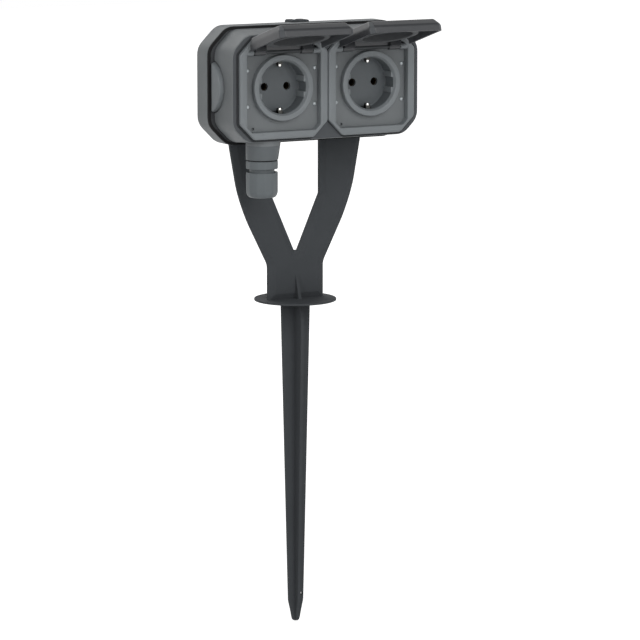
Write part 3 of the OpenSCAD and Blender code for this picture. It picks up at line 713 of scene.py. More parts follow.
@dataclass
class BoxShells:
    """Rear shell, seal and front cover of the socket box, and the blanks in its flanks."""

    mid_z: float = MID_Z
    width: float = 171.0
    height: float = 89.4
    cut: float = 16.0
    corner: float = 14.0
    corner_least: float = 1.0
    cover_width: float = 158.4
    cover_height: float = 80.4
    cover_cut: float = 12.0
    step_x: float = 5.2
    step_z: float = 2.0
    parting_cut: float = 14.5
    wall: float = 3.5
    y_rear: float = Y_REAR
    y_part: float = -21.0
    y_seal: float = -22.5
    y_cover: float = Y_COVER
    seam: float = 0.05
    seal_wide: float = 7.5
    seal_lip: float = 2.4
    seal_in: float = 0.2
    screw_x: float = 74.5
    screw_z: float = 27.2
    pocket_r: float = 3.7
    pocket_deep: float = 2.9
    blank_r: float = 19.5
    blank_y: float = -17.6
    blank_chord: float = 2.4
    blank_gap: float = 1.1
    blank_face: float = 83.7
    blank_root: float = 79.0
    blank_flange: float = 2.5
    blank_levels: tuple[float, float] = (73.0, 75.4)
    blank_rim: float = 3.0
    blank_points: int = 49
    window_half: float = 33.9
    window_low: float = 35.0
    window_cut: float = 7.0
    window_round: float = 2.0
    window_back: float = 8.0
    window_fore: float = 4.0
    pitch: float = PITCH
    spout_top: float = 126.3
    floor_in: float = 14.0
    front_in: float = 8.0
    moon_span: tuple[float, float] = (66.0, 92.0)
    front_shade_band: float = 0.2
    lip_band: float = 0.5

    def station(self, width: float, height: float, cut: float, inset: float, y: float) -> list[float]:
        """Station of a cut-corner rectangle about the box's middle.

        Args:
            width: Width before the inset.
            height: Height before the inset.
            cut: Corner cut before the inset.
            inset: How far it stands in all round.
            y: Where it stands.

        Returns:
            Seven values for loft.
        """
        half_w, half_h = width / 2 - inset, height / 2 - inset
        radius = max(self.corner - inset, self.corner_least)
        trimmed = max(cut - inset * CUT_SHRINK, self.corner_least)
        return [-half_w, half_w, self.mid_z - half_h, self.mid_z + half_h, trimmed, radius, y]

    def rear(self, inset: float, y: float) -> list[float]:
        """Station of the rear shell."""
        return self.station(self.width, self.height, self.cut, inset, y)

    def parting(self, inset: float, y: float) -> list[float]:
        """Station of the cover at the parting line."""
        width, height = self.width - 2 * self.step_x, self.height - 2 * self.step_z
        return self.station(width, height, self.parting_cut, inset, y)

    def front(self, inset: float, y: float) -> list[float]:
        """Station of the cover at the socket frames."""
        return self.station(self.cover_width, self.cover_height, self.cover_cut, inset, y)

    def build_rear(self) -> None:
        """Rear shell: a shallow tray with rounded edges and pockets for the cover's screws."""
        tray = loft(
            [
                self.rear(self.floor_in, self.y_rear),
                self.rear(0.0, self.y_rear),
                self.rear(0.0, self.y_part),
                self.rear(self.wall, self.y_part),
                self.rear(self.wall, self.y_rear - self.wall),
            ],
            [0, 2.2, 0.5, 0.4, 0],
        )
        piece = make_piece("rear_tray", tray)
        for x in (-self.screw_x, self.screw_x):
            for z in (-self.screw_z, self.screw_z):
                spot = (x, self.y_rear, self.mid_z + z)
                carve(piece, Carve.CUT, rod(self.pocket_r, Axis.Y, spot, -self.pocket_deep, CLEAR))
        settle(piece, BOX_GREY, STAND, "rear_shell")

    def build_cover(self, spout: Surface) -> None:
        """Front cover: tapered shell with windows for the sockets, half-moon cuts and the gland's spout.

        Args:
            spout: Shape of the spout under the cover.
        """
        shell = loft(
            [
                self.front(self.wall, self.y_cover + self.wall),
                self.parting(self.wall, self.y_seal - self.seam),
                self.parting(0.0, self.y_seal - self.seam),
                self.front(0.0, self.y_cover),
                self.front(self.front_in, self.y_cover),
            ],
            [0, 0.4, 0.8, 1.4, 0],
        )
        piece = make_piece("cover_shell", shell)
        carve(piece, Carve.JOIN, spout)
        for side in Side:
            middle = side.value * self.pitch / 2
            sides = [middle - self.window_half, middle + self.window_half]
            levels = [self.mid_z - self.window_low, self.mid_z + self.window_half]
            shape = [*sides, *levels, self.window_cut, self.window_round]
            planes = (self.y_cover + self.window_back, self.y_cover - self.window_fore)
            window = loft([[*shape, y] for y in planes], [0, 0])
            edge = (0.0, self.blank_y, self.mid_z)
            start, end = (side.value * reach for reach in self.moon_span)
            moon = rod(self.blank_r + self.blank_gap, Axis.X, edge, start, end)
            carve(piece, Carve.CUT, window, moon)
        settle(piece, BOX_GREY, STAND, "front_cover")
        _, y, z = face_middles(piece, (0.0, self.y_cover, self.spout_top))
        # Faces below the box take the darker copy: painted shade on the spout under the box.
        refinish(piece, SHADED_SPOUT_GREY, z < 0.0)
        # The cover's front plane takes the darker copy: painted shade round and between the frames.
        refinish(piece, SHADED_COVER_FRONT, y < self.front_shade_band)

    def build_seal(self) -> None:
        """Seal: a flat ring on the step between the shells, black at its lip; its foot is a duller grey,
        painted shade for the groove between the shells.

        A face is at the foot where it stands in from the rear shell's sides, and from its cut corners, by
        more than the lip.
        """
        ring = loft(
            [
                self.rear(self.seal_in, self.y_part),
                self.rear(self.seal_in, self.y_seal),
                self.rear(self.seal_lip, self.y_seal),
                self.rear(self.seal_wide, self.y_seal),
                self.rear(self.seal_wide, self.y_part),
            ],
            [0.1, 0.3, 0, 0.1, 0.1],
            loop=True,
        )
        piece = make_piece("parting_seal", ring)
        settle(piece, SEAL_BLACK, STAND, "shell_seal")
        x, _, z = face_middles(piece, (0.0, 0.0, self.mid_z))
        across, up = self.width / 2 - abs(x), self.height / 2 - abs(z)
        corner = (across + up - self.cut) / math.sqrt(2)
        inset = np.minimum(np.minimum(across, up), corner)
        # The foot takes the duller grey: painted shade in the groove between the shells.
        refinish(piece, SHADED_SEAL_FOOT, inset > self.seal_lip + self.lip_band)

    def build_blank(self, side: Side) -> None:
        """Half-moon blank: arcs about a point behind the parting line, with a flange behind the wall.

        An arc of radius r runs from -f to f, where cos f = d / r and d is the distance from its middle to
        the line that it ends at: the parting line up to the root, then a line that leans away from it.

        Args:
            side: Flank that it sits in.
        """
        low, high = self.blank_levels
        wide = self.blank_r + self.blank_flange
        line = [
            [wide, low],
            [wide, high],
            [self.blank_r, high],
            [self.blank_r, self.blank_root],
            [self.blank_r, self.blank_face],
            [self.blank_r - self.blank_rim, self.blank_face],
        ]
        path = bent(line, [0, 0.2, 0.2, 0.2, 1.2, 0], ROUND_STEPS)
        radius, out = path[:, :1], path[:, 1:]
        rise = np.clip((out - self.blank_root) / (self.blank_face - self.blank_root), 0.0, 1.0)
        end = np.arccos((self.blank_y - self.y_seal + self.blank_chord * rise) / radius)
        turn = end * np.linspace(-1.0, 1.0, self.blank_points)
        y = self.blank_y - radius * np.cos(turn)
        z = self.mid_z + radius * np.sin(turn)
        x = np.broadcast_to(side.value * out, y.shape)
        piece = make_piece(f"{side.label}_half_moon", skin(np.stack([x, y, z], axis=-1)))
        settle(piece, BLANK_GREY, STAND, f"{side.label}_entry_blank")


@dataclass
class SocketUnit:
    """One socket: its frame and gasket, its insert with the round cup, and the earth spring."""

    side: Side
    pitch: float = PITCH
    mid_z: float = MID_Z
    frame_inner: float = 37.3
    frame_outer: float = 36.9
    frame_half: float = 38.2
    frame_cut: float = 12.3
    frame_round: float = 2.7
    frame_corner: float = 4.0
    lip: float = 3.0
    gasket_foot: float = 1.6
    gasket_in: float = 0.3
    gasket_gap: float = 0.1
    recess_half: float = 30.9
    recess_low: float = 32.5
    recess_cut: float = 4.0
    recess_round: float = 1.2
    recess_corner: float = 2.5
    skirt: float = 2.2
    skirt_corner: float = 3.0
    skirt_foot: float = 2.0
    y_front: float = -54.0
    y_frame: float = -50.8
    y_window: float = -49.6
    y_cover: float = Y_COVER
    y_floor: float = Y_FLOOR
    y_ledge: float = -46.0
    y_ring: float = -53.5
    y_cup: float = -39.5
    y_back: float = -37.0
    ring_r: float = 24.8
    ring_foot: float = 2.0
    ring_band: float = 0.4
    mouth_r: float = 21.0
    mouth_deep: float = 2.5
    cup_r: float = 19.5
    cup_wall: float = 2.0
    cup_band: float = 2.4
    pin_r: float = 3.0
    pin_x: float = 9.5
    pin_deep: float = 4.0
    hinge_y: float = HINGE_Y
    hinge_up: float = HINGE_UP
    window_half: float = 25.0
    window_low: float = 24.7
    window_fore: float = 3.0
    window_up: float = 4.0
    window_round: float = 0.6
    lug_r: float = 2.3
    lug_end: float = 32.4
    lug_bore: float = 0.8
    key_z: float = 5.9
    key_half: float = 2.1
    key_in: float = 2.0
    key_root: float = 0.4
    key_fore: float = 2.0
    key_back: float = 0.3
    key_round: float = 0.35
    slot_half: float = 3.3
    slot_in: float = 18.5
    slot_out: float = 22.2
    slot_front: float = -50.5
    slot_back: float = 2.0
    slot_round: float = 0.3
    drain: tuple[float, float, float] = (-24.0, -30.2, 1.2)
    drain_deep: float = 1.5
    clip_half: float = 1.7
    clip_thick: float = 1.0
    clip_round: float = 0.25
    clip_leg: tuple[tuple[float, float], ...] = (
        (-24.4, 20.7), (-42.5, 20.7), (-45.0, 15.9), (-46.0, 15.9), (-47.6, 20.6), (-49.4, 20.7)
    )
    clip_trims: tuple[float, ...] = (1.0, 1.6, 0.5, 0.5, 1.6, 0.0)
    nose_r: float = 1.55
    nose_y: float = -45.9
    nose_z: float = 16.3
    nose_high: float = 1.2
    nose_rim: float = 0.2
    nose_foot: float = 0.9
    insert_gap: float = 0.04
    plate_edge: float = 0.1
    back_bore: float = 9.0
    floor_bore: float = 11.0
    around: int = 160
    paint_band: float = 0.3

    @property
    def mid_x(self) -> float:
        """Middle of the socket."""
        return self.side.value * self.pitch / 2

    def at(self, x: float, y: float, z: float) -> tuple[float, float, float]:
        """Point given from the socket's middle."""
        return (self.mid_x + x, y, self.mid_z + z)

    def station(self, half: float, low: float, cut: float, radius: float, y: float) -> list[float]:
        """Station of a cut-corner rectangle; half is half its width and its reach above the middle."""
        x, z = self.mid_x, self.mid_z
        return [x - half, x + half, z - low, z + half, cut, radius, y]

    def outer_station(self, y: float, grow: float = 0.0) -> list[float]:
        """Station of the frame's outside, with its own reach towards the other socket and away from it.

        Args:
            y: Where it stands.
            grow: How far it stands out; on the side of the other socket it only stands in.

        Returns:
            Seven values for loft.
        """
        left, right = (self.frame_outer + grow, self.frame_inner + min(grow, 0.0))[:: -self.side.value]
        x, z, half = self.mid_x, self.mid_z, self.frame_half + grow
        cut = self.frame_cut + grow * CUT_SHRINK
        return [x - left, x + right, z - half, z + half, cut, self.frame_corner, y]

    @property
    def y_lip(self) -> float:
        """Back of the frame's visible edge."""
        return self.y_front + self.lip

    def skirt_station(self, gap: float, y: float) -> list[float]:
        """Station of the skirt behind the frame, with a gap round it."""
        wide = self.skirt + gap
        cut = self.recess_cut + wide * CUT_SHRINK
        return self.station(self.recess_half + wide, self.recess_low + wide, cut, self.skirt_corner, y)

    def lid_window(self) -> Surface:
        """Room that the lid's hinge end swings in."""
        low_corner = self.at(-self.window_half, self.y_front - self.window_fore, self.window_low)
        high_corner = self.at(self.window_half, self.y_window, self.frame_half + self.window_up)
        return slab(low_corner, high_corner, self.window_round)

    def build_frame(self) -> None:
        """Frame: a rounded border carried round the cut-corner square, with the lid's window and lugs."""
        recess = (self.recess_half, self.recess_low, self.recess_cut, self.recess_corner)
        y_foot = self.y_ledge + self.skirt_foot
        border = loft(
            [
                self.outer_station(self.y_lip),
                self.outer_station(self.y_front),
                self.station(*recess, self.y_front),
                self.station(*recess, y_foot),
                self.skirt_station(0.0, y_foot),
                self.skirt_station(0.0, self.y_lip),
            ],
            [0.3, self.frame_round, self.recess_round, 0.2, 0.2, 0.2],
            loop=True,
        )
        piece = make_piece(f"{self.side.label}_frame_border", border)
        carve(piece, Carve.CUT, self.lid_window())
        profile = [
            [self.lug_bore, self.window_half],
            [self.lug_r, self.window_half],
            [self.lug_r, self.lug_end],
            [self.lug_bore, self.lug_end],
        ]
        axis = self.at(0.0, self.hinge_y, self.hinge_up)
        for way in (-1, 1):
            lug = revolve(profile, [0, 0.4, 0.1, 0], axis, Axis.X, sides=32)
            if way < 0:
                lug.points[:, 0] = 2 * self.mid_x - lug.points[:, 0]
            carve(piece, Carve.JOIN, lug)
        settle(piece, FRAME_AND_LIT_GREY, STAND, f"{self.side.label}_socket_frame")

    def build_gasket(self) -> None:
        """Gasket: a grey ring with a foot on the cover, carried round just inside the frame's edge."""
        ring = loft(
            [
                self.outer_station(self.y_cover, self.gasket_foot),
                self.outer_station(self.y_frame, self.gasket_foot),
                self.outer_station(self.y_frame, -self.gasket_in),
                self.outer_station(self.y_lip, -self.gasket_in),
                self.skirt_station(self.gasket_gap, self.y_lip),
                self.skirt_station(self.gasket_gap, self.y_cover),
            ],
            [0.1, 0.3, 0.2, 0.1, 0.1, 0.1],
            loop=True,
        )
        piece = make_piece(f"{self.side.label}_gasket_ring", ring)
        carve(piece, Carve.CUT, self.lid_window())
        settle(piece, GASKET_RUBBER, STAND, f"{self.side.label}_frame_gasket")

    def outline_radius(self, turn: Array) -> Array:
        """Distance from the middle to the insert's cut-corner edge.

        It is the least of d / cos(t - f) over the eight edges that face the angle t, where an edge faces
        the angle f at the distance d.

        Args:
            turn: Angles from +X towards +Z.

        Returns:
            Distances in millimetres.
        """
        half, low = self.recess_half - self.insert_gap, self.recess_low - self.insert_gap
        cut, diagonal, least_slope = self.recess_cut, math.sqrt(0.5), 0.05
        top, bottom = (2 * half - cut) * diagonal, (half + low - cut) * diagonal
        facing = np.radians([0, 45, 90, 135, 180, 225, 270, 315])
        distance = np.array([half, top, half, top, half, bottom, low, bottom])
        slope = np.cos(turn[None] - facing[:, None])
        reach = distance[:, None] / np.maximum(slope, least_slope)
        return np.where(slope > least_slope, reach, np.inf).min(axis=0)

    def build_insert(self) -> None:
        """Insert: plate, raised ring and deep round cup as one row of rings, with the holes cut in."""
        turn = np.linspace(0.0, 2 * math.pi, self.around, endpoint=False)
        edge = self.outline_radius(turn)[None]
        outside = self.cup_r + self.cup_wall
        back = [[self.back_bore, self.y_back], [outside, self.y_back], [outside, self.y_ledge]]
        behind = bent(back, [0, 0.5, 0], steps=4)
        front = [
            [self.ring_r + self.ring_foot, self.y_floor],
            [self.ring_r, self.y_floor],
            [self.ring_r, self.y_ring],
            [self.mouth_r, self.y_ring],
            [self.cup_r, self.y_ring + self.mouth_deep],
            [self.cup_r, self.y_cup],
            [self.floor_bore, self.y_cup],
        ]
        inside = bent(front, [0, 0.5, 1.0, 0.5, 0.5, 0.8, 0], ROUND_STEPS)
        rows = [
            (behind[:, :1], behind[:, 1:]),
            (edge, np.array([[self.y_ledge]])),
            (edge, np.array([[self.y_floor + self.plate_edge]])),
            (edge - self.plate_edge, np.array([[self.y_floor]])),
            (inside[:, :1], inside[:, 1:]),
        ]
        rings = np.concatenate([circle_rings(radius, y, turn, Axis.Y) for radius, y in rows])
        body = skin(rings + np.array(self.at(0.0, 0.0, 0.0)))
        piece = make_piece(f"{self.side.label}_insert_cup", body)
        for way in (-1, 1):
            low, high = sorted((way * self.slot_in, way * self.slot_out))
            slot = slab(
                self.at(-self.slot_half, self.slot_front, low),
                self.at(self.slot_half, self.y_back + self.slot_back, high),
                self.slot_round,
            )
            spot = self.at(way * self.pin_x, self.y_cup, 0.0)
            carve(piece, Carve.CUT, slot, rod(self.pin_r, Axis.Y, spot, -CLEAR, self.pin_deep))
        x, z, radius = self.drain
        carve(piece, Carve.CUT, rod(radius, Axis.Y, self.at(x, self.y_floor, z), -CLEAR, self.drain_deep))
        settle(piece, BOX_GREY, STAND, f"{self.side.label}_socket_insert")
        x, y, z = face_middles(piece, self.at(0.0, 0.0, 0.0))
        radius = np.hypot(x, z) - self.paint_band
        # The raised ring takes the lighter frame grey: a painted highlight for the light that its rounded
        # edges catch.
        refinish(piece, FRAME_AND_LIT_GREY, (radius < self.ring_r) & (y < self.y_floor - self.ring_band))
        # The cup's inside takes the darker copy of the box plastic: painted shade for the shade deep in
        # the cup.
        refinish(piece, SHADED_CUP_GREY, (radius < self.cup_r) & (y > self.y_ring + self.cup_band))

    def build_keys(self) -> None:
        """Guide keys: four rounded bars at the sides of the cup."""
        bars = []
        for way in (-1, 1):
            near, far = sorted((way * (self.cup_r + self.key_root), way * (self.cup_r - self.key_in)))
            for level in (-self.key_z, self.key_z):
                low = self.at(near, self.y_ring + self.key_fore, level - self.key_half)
                high = self.at(far, self.y_cup + self.key_back, level + self.key_half)
                bars.append(slab(low, high, self.key_round))
        piece = make_piece(f"{self.side.label}_guide_keys", *bars)
        # The keys take the lighter frame grey: a painted highlight for the light on their front faces.
        settle(piece, FRAME_AND_LIT_GREY, STAND)

    def build_clip(self) -> None:
        """Earth spring: a flat strip carried along a bent line, with a bump that reaches into the cup.

        A point of the strip's section with the values u and v lies at u along X, and v off the line along
        the line's normal.
        """
        leg, trims = list(self.clip_leg), list(self.clip_trims)
        path = leg[::-1] + [(y, -z) for y, z in leg]
        line = bent(path, trims[::-1] + trims, steps=8)
        along = np.gradient(line, axis=0)
        normal = np.stack([-along[:, 1], along[:, 0]], axis=1)
        normal /= np.maximum(np.linalg.norm(normal, axis=1, keepdims=True), TINY)
        half, thick = self.clip_half, self.clip_thick / 2
        corners = [[-half, -thick], [half, -thick], [half, thick], [-half, thick]]
        section = bent(corners, self.clip_round, steps=3, loop=True)
        x = np.broadcast_to(section[:, 0], (len(line), len(section)))
        y = line[:, :1] + normal[:, :1] * section[:, 1]
        z = line[:, 1:] + normal[:, 1:] * section[:, 1]
        strip = skin(np.stack([x, y, z], axis=-1) + np.array(self.at(0.0, 0.0, 0.0)))
        piece = make_piece(f"{self.side.label}_earth_spring", strip)
        # The spring takes the darkened clip steel: painted shade, so that only its nose shows bright.
        settle(piece, SHADED_CLIP_STEEL, STAND, f"{self.side.label}_earth_clip", angle=50.0)

    def build_noses(self) -> None:
        """Contact noses: a round button on each leg of the earth spring."""
        radius = self.nose_r
        buttons = []
        for way in (-1, 1):
            spot = self.at(0.0, self.nose_y, way * self.nose_z)
            foot, shoulder, top = self.nose_foot * way, -self.nose_rim * way, -self.nose_high * way
            dome = [[radius, foot], [radius, shoulder], [0.6 * radius, top], [0.15 * radius, top]]
            buttons.append(revolve(dome, [0, 0.6, 0.6, 0], spot, Axis.Z, sides=32))
        piece = make_piece(f"{self.side.label}_earth_noses", *buttons)
        # The noses take the bright copy of the clip steel: a painted highlight on the spring's contact.
        settle(piece, LIT_CLIP_METAL, STAND, angle=60.0)

    def build(self) -> None:
        """Makes every piece of the socket."""
        self.build_frame()
        self.build_gasket()
        self.build_insert()
        self.build_keys()
        self.build_clip()
        self.build_noses()


@dataclass
class FlipLid:
    """One hinged lid and its ring seal. In its own frame it hinges on X and hangs down, closed."""

    side: Side
    pitch: float = PITCH
    mid_z: float = MID_Z
    hinge_y: float = HINGE_Y
    hinge_up: float = HINGE_UP
    open_angle: float = 106.0
    half: float = 30.7
    length: float = 58.7
    back: float = 2.2
    shoulder: float = -0.5
    face_back: float = 3.4
    face_cut: float = 2.2
    face_in: float = 6.0
    bevel: float = 2.4
    end_bevel: float = 6.0
    depth: float = 10.0
    lip: float = 5.0
    wall: float = 2.0
    cut: float = 3.4
    corner: float = 1.3
    notch: float = 24.6
    notch_deep: float = 8.0
    notch_out: float = 40.0
    notch_y: tuple[float, float] = (-12.0, 6.0)
    notch_up: float = 9.0
    notch_round: float = 0.5
    knuckle_r: float = 2.2
    knuckle: tuple[float, float] = (15.0, 24.4)
    knuckle_bore: float = 0.7
    web_deep: float = 6.6
    web_low: float = 4.4
    web_high: float = 1.8
    web_in: float = 0.3
    web_round: float = 0.4
    seal_out: float = 23.5
    seal_in: float = 19.0
    seal_top: float = 5.7
    seal_face: float = -2.3
    rim: float = 0.5
    trim_half: float = 30.0
    trim_y: tuple[float, float] = (-9.0, 5.0)
    trim_up: float = 20.0

    @property
    def turn(self) -> float:
        """Angle from the closed place to the open one, in radians."""
        return math.radians(-self.open_angle)

    @property
    def place(self) -> Matrix:
        """Turn and shift from the lid's own frame to its open place."""
        middle = self.side.value * self.pitch / 2
        shift = Matrix.Translation((middle, self.hinge_y, self.mid_z + self.hinge_up))
        return shift @ Matrix.Rotation(self.turn, 4, "X")

    @property
    def body(self) -> str:
        """CAD body of the lid."""
        return f"{self.side.label}_cap"

    def station(self, inset: float, back: float, y: float, face: bool = False) -> list[float]:
        """Station of the lid's outline.

        Args:
            inset: Wall thickness to stand in by.
            back: How far its hinge end reaches past the hinge.
            y: Height below the rim's plane.
            face: True for the face, which stands in from the rim on the other three sides.

        Returns:
            Seven values for loft.
        """
        side = self.half - inset - (self.bevel if face else 0.0)
        low = -self.length + inset + (self.end_bevel if face else 0.0)
        cut = self.face_cut if face else self.cut
        return [-side, side, low, back - inset, cut - inset / 2, self.corner, y]

    def inside_faces(self, piece: bpy.types.Object) -> Array:
        """Marks the faces of the lid's inside.

        A face is inside where it stands in from the outer walls by more than half the wall; past the lip,
        the walls lean in by a part that grows from 0 at the lip to 1 at the face.

        Args:
            piece: The lid, in its open place.

        Returns:
            True for each face of the inside.
        """
        x, y, z = face_middles(piece, self.place.translation)
        down = y * math.cos(self.turn) + z * math.sin(self.turn)
        along = z * math.cos(self.turn) - y * math.sin(self.turn)
        lean = np.clip((-down - self.lip) / (self.depth - self.lip), 0.0, 1.0)
        thin = self.wall / 2
        wide = abs(x) < self.half - thin - self.bevel * lean
        long = (along > thin - self.length + self.end_bevel * lean) & (along < -self.notch_deep)
        return wide & long & (down > thin - self.depth)

    def build_shell(self) -> None:
        """Lid: outside from the face to the rim, back along the inside, then the hinge's details."""
        w, y_floor = self.wall, self.wall - self.depth
        face = self.station(0.0, -self.face_back, -self.depth, face=True)
        floor = self.station(w, -self.face_back, y_floor, face=True)
        inwards = np.array([1.0, -1.0, 1.0, -1.0, 0.0, 0.0, 0.0]) * self.face_in
        shell = loft(
            [
                face + inwards,
                face,
                self.station(0.0, self.shoulder, -self.lip),
                self.station(0.0, self.back, -self.rim),
                self.station(0.0, self.back, 0.0),
                self.station(w, self.back, 0.0),
                self.station(w, self.shoulder, -self.lip),
                floor,
                floor + inwards,
            ],
            [0, 1.0, 1.6, 0.2, 0.25, 0.25, 0.6, 0.8, 0],
        )
        piece = make_piece(f"{self.side.label}_lid_shell", shell.moved(self.place))
        fore, back = self.notch_y
        for way in (-1, 1):
            near, far = sorted((way * self.notch, way * self.notch_out))
            corner = slab((near, fore, -self.notch_deep), (far, back, self.notch_up), self.notch_round)
            near, far = sorted(way * end for end in self.knuckle)
            bore, radius = self.knuckle_bore, self.knuckle_r
            profile = [[bore, near], [radius, near], [radius, far], [bore, far]]
            roll = revolve(profile, [0, 0.4, 0.4, 0], (0, 0, 0), Axis.X, sides=32)
            low = (near + self.web_in, -self.web_deep, -self.web_low)
            high = (far - self.web_in, 0.0, -self.web_high)
            web = slab(low, high, self.web_round)
            carve(piece, Carve.CUT, corner.moved(self.place))
            carve(piece, Carve.JOIN, roll.moved(self.place), web.moved(self.place))
        settle(piece, LID_GREY, self.body, f"{self.side.label}_lid")
        # The lid's inside takes the lighter copy of its plastic: painted light on the same plastic.
        refinish(piece, LIT_LID_INSIDE, self.inside_faces(piece))

    def build_seal(self) -> None:
        """Ring seal: a flat rounded ring, cut straight at the hinge end."""
        face, back = self.seal_face, self.wall - self.depth
        ring = revolve(
            [[self.seal_in, back], [self.seal_out, back], [self.seal_out, face], [self.seal_in, face]],
            [0.2, 0.2, 0.8, 0.8],
            (0.0, 0.0, -self.hinge_up),
            Axis.Y,
            sides=96,
            loop=True,
        )
        piece = make_piece(f"{self.side.label}_ring_seal", ring.moved(self.place))
        fore, behind = self.trim_y
        low, high = (-self.trim_half, fore, -self.seal_top), (self.trim_half, behind, self.trim_up)
        trim = slab(low, high, self.notch_round)
        carve(piece, Carve.CUT, trim.moved(self.place))
        settle(piece, LID_SEAL, self.body, f"{self.side.label}_lid_seal")

    def build(self) -> None:
        """Makes the lid and its seal."""
        self.build_shell()
        self.build_seal()


@dataclass
class CableGland:
    """Cable gland under the left socket."""

    x: float = -47.0
    y: float = -35.5
    z_spout: float = 114.3
    z_collar: float = 113.5
    z_neck: float = 107.5
    z_nut: float = 104.9
    lean: float = 1.2
    nut_h: float = 19.2
    nut_floor: float = 4.4
    nut_r: float = 12.1
    nut_round: float = 3.0
    nut_hole: float = 7.0
    nut_chamfer: float = 2.2
    nut_slip: float = 0.1
    thread_r: float = 9.4
    thread_long: float = 11.0
    bore_r: float = 6.8
    top_thread_r: float = 8.8
    flats: int = 12
    flat_depth: float = 0.28
    flat_points: int = 12
    spout_bore: float = 9.2
    spout_high: float = 15.0
    spout_bend: float = 8.0
    spout_flare: tuple[float, float, float] = (0.1, 0.7, 1.2)
    neck_long: float = 12.0

    def spout(self) -> Surface:
        """Spout under the cover: a round cone that flares and leans a little where it meets the box.

        A point at the share u of the spout's height moves by u * lean along X.
        """
        low, high = self.z_spout, self.z_spout + self.spout_high
        foot, middle, top = (self.nut_r + flare for flare in self.spout_flare)
        bend = low + self.spout_bend
        outside = [[foot, low], [middle, bend], [top, high]]
        profile = [[self.spout_bore, low], *outside, [self.spout_bore, high]]
        cone = revolve(profile, [0, 0.5, 3.0, 0.2, 0], (self.x, self.y, 0.0), Axis.Z)
        cone.points[:, 0] += self.lean * (cone.points[:, 2] - low) / self.spout_high
        return cone

    def flat_sided(self, profile: list, trims: list) -> Surface:
        """Ring with shallow flats.

        The radius r at the angle t is cut down to (r - d) / cos(t - m), where m is the middle of the
        nearest flat and d is the depth of the flats.

        Args:
            profile: Rows of radius, height and share of the flats that shows there, 0 to 1.
            trims: How far each corner of the profile is rounded.

        Returns:
            The surface.
        """
        line = bent(profile, trims, ROUND_STEPS, loop=True, weights=np.array([1.0, 1.0, 0.0]))
        round_r, height, share = line[:, :1], line[:, 1:2], line[:, 2:]
        turn = np.linspace(0.0, 2 * math.pi, self.flats * self.flat_points, endpoint=False)
        part = 2 * math.pi / self.flats
        off = (turn + part / 2) % part - part / 2
        flat_r = (round_r - self.flat_depth * share) / np.cos(off)
        radius = np.where(share > 0, np.minimum(round_r, flat_r), round_r)
        rings = circle_rings(radius, height, turn, Axis.Z) + np.array([self.x, self.y, 0.0])
        return skin(rings, loop=True)

    def build_body(self) -> None:
        """Gland body: collar with shallow flats over the threaded neck."""
        collar, neck, thread = self.nut_r + self.nut_slip, self.thread_r, self.top_thread_r
        low, high = self.z_neck - self.neck_long, self.z_collar + self.thread_long
        shape = self.flat_sided(
            [
                [self.bore_r, low, 0],
                [neck, low, 0],
                [neck, self.z_neck, 0],
                [collar, self.z_neck, 1],
                [collar, self.z_collar, 1],
                [thread, self.z_collar, 0],
                [thread, high, 0],
                [self.bore_r, high, 0],
            ],
            [0.3, 0.6, 0.1, 0.7, 0.5, 0.1, 0.4, 0.3],
        )
        piece = make_piece("gland_collar", shape)
        settle(piece, GLAND_GREY, STAND, "gland_body")

    def build_nut(self) -> None:
        """Gland nut: soft-edged flats and a round bottom edge, hollow for the neck and the cable."""
        low, high = self.z_nut - self.nut_h, self.z_nut
        floor, bore = low + self.nut_floor, self.thread_r + self.nut_slip
        shape = self.flat_sided(
            [
                [self.nut_hole, floor, 0],
                [self.nut_hole, low, 0],
                [self.nut_r - self.nut_chamfer, low, 0],
                [self.nut_r, low + self.nut_round, 1],
                [self.nut_r, high, 1],
                [bore, high, 0],
                [bore, floor, 0],
            ],
            [0.2, 0.5, 1.8, 1.8, 0.6, 0.4, 0.2],
        )
        piece = make_piece("gland_clamp_nut", shape)
        settle(piece, GLAND_GREY, "nut", "gland_nut")

    def build(self) -> None:
        """Makes the gland's pieces."""
        self.build_body()
        self.build_nut()


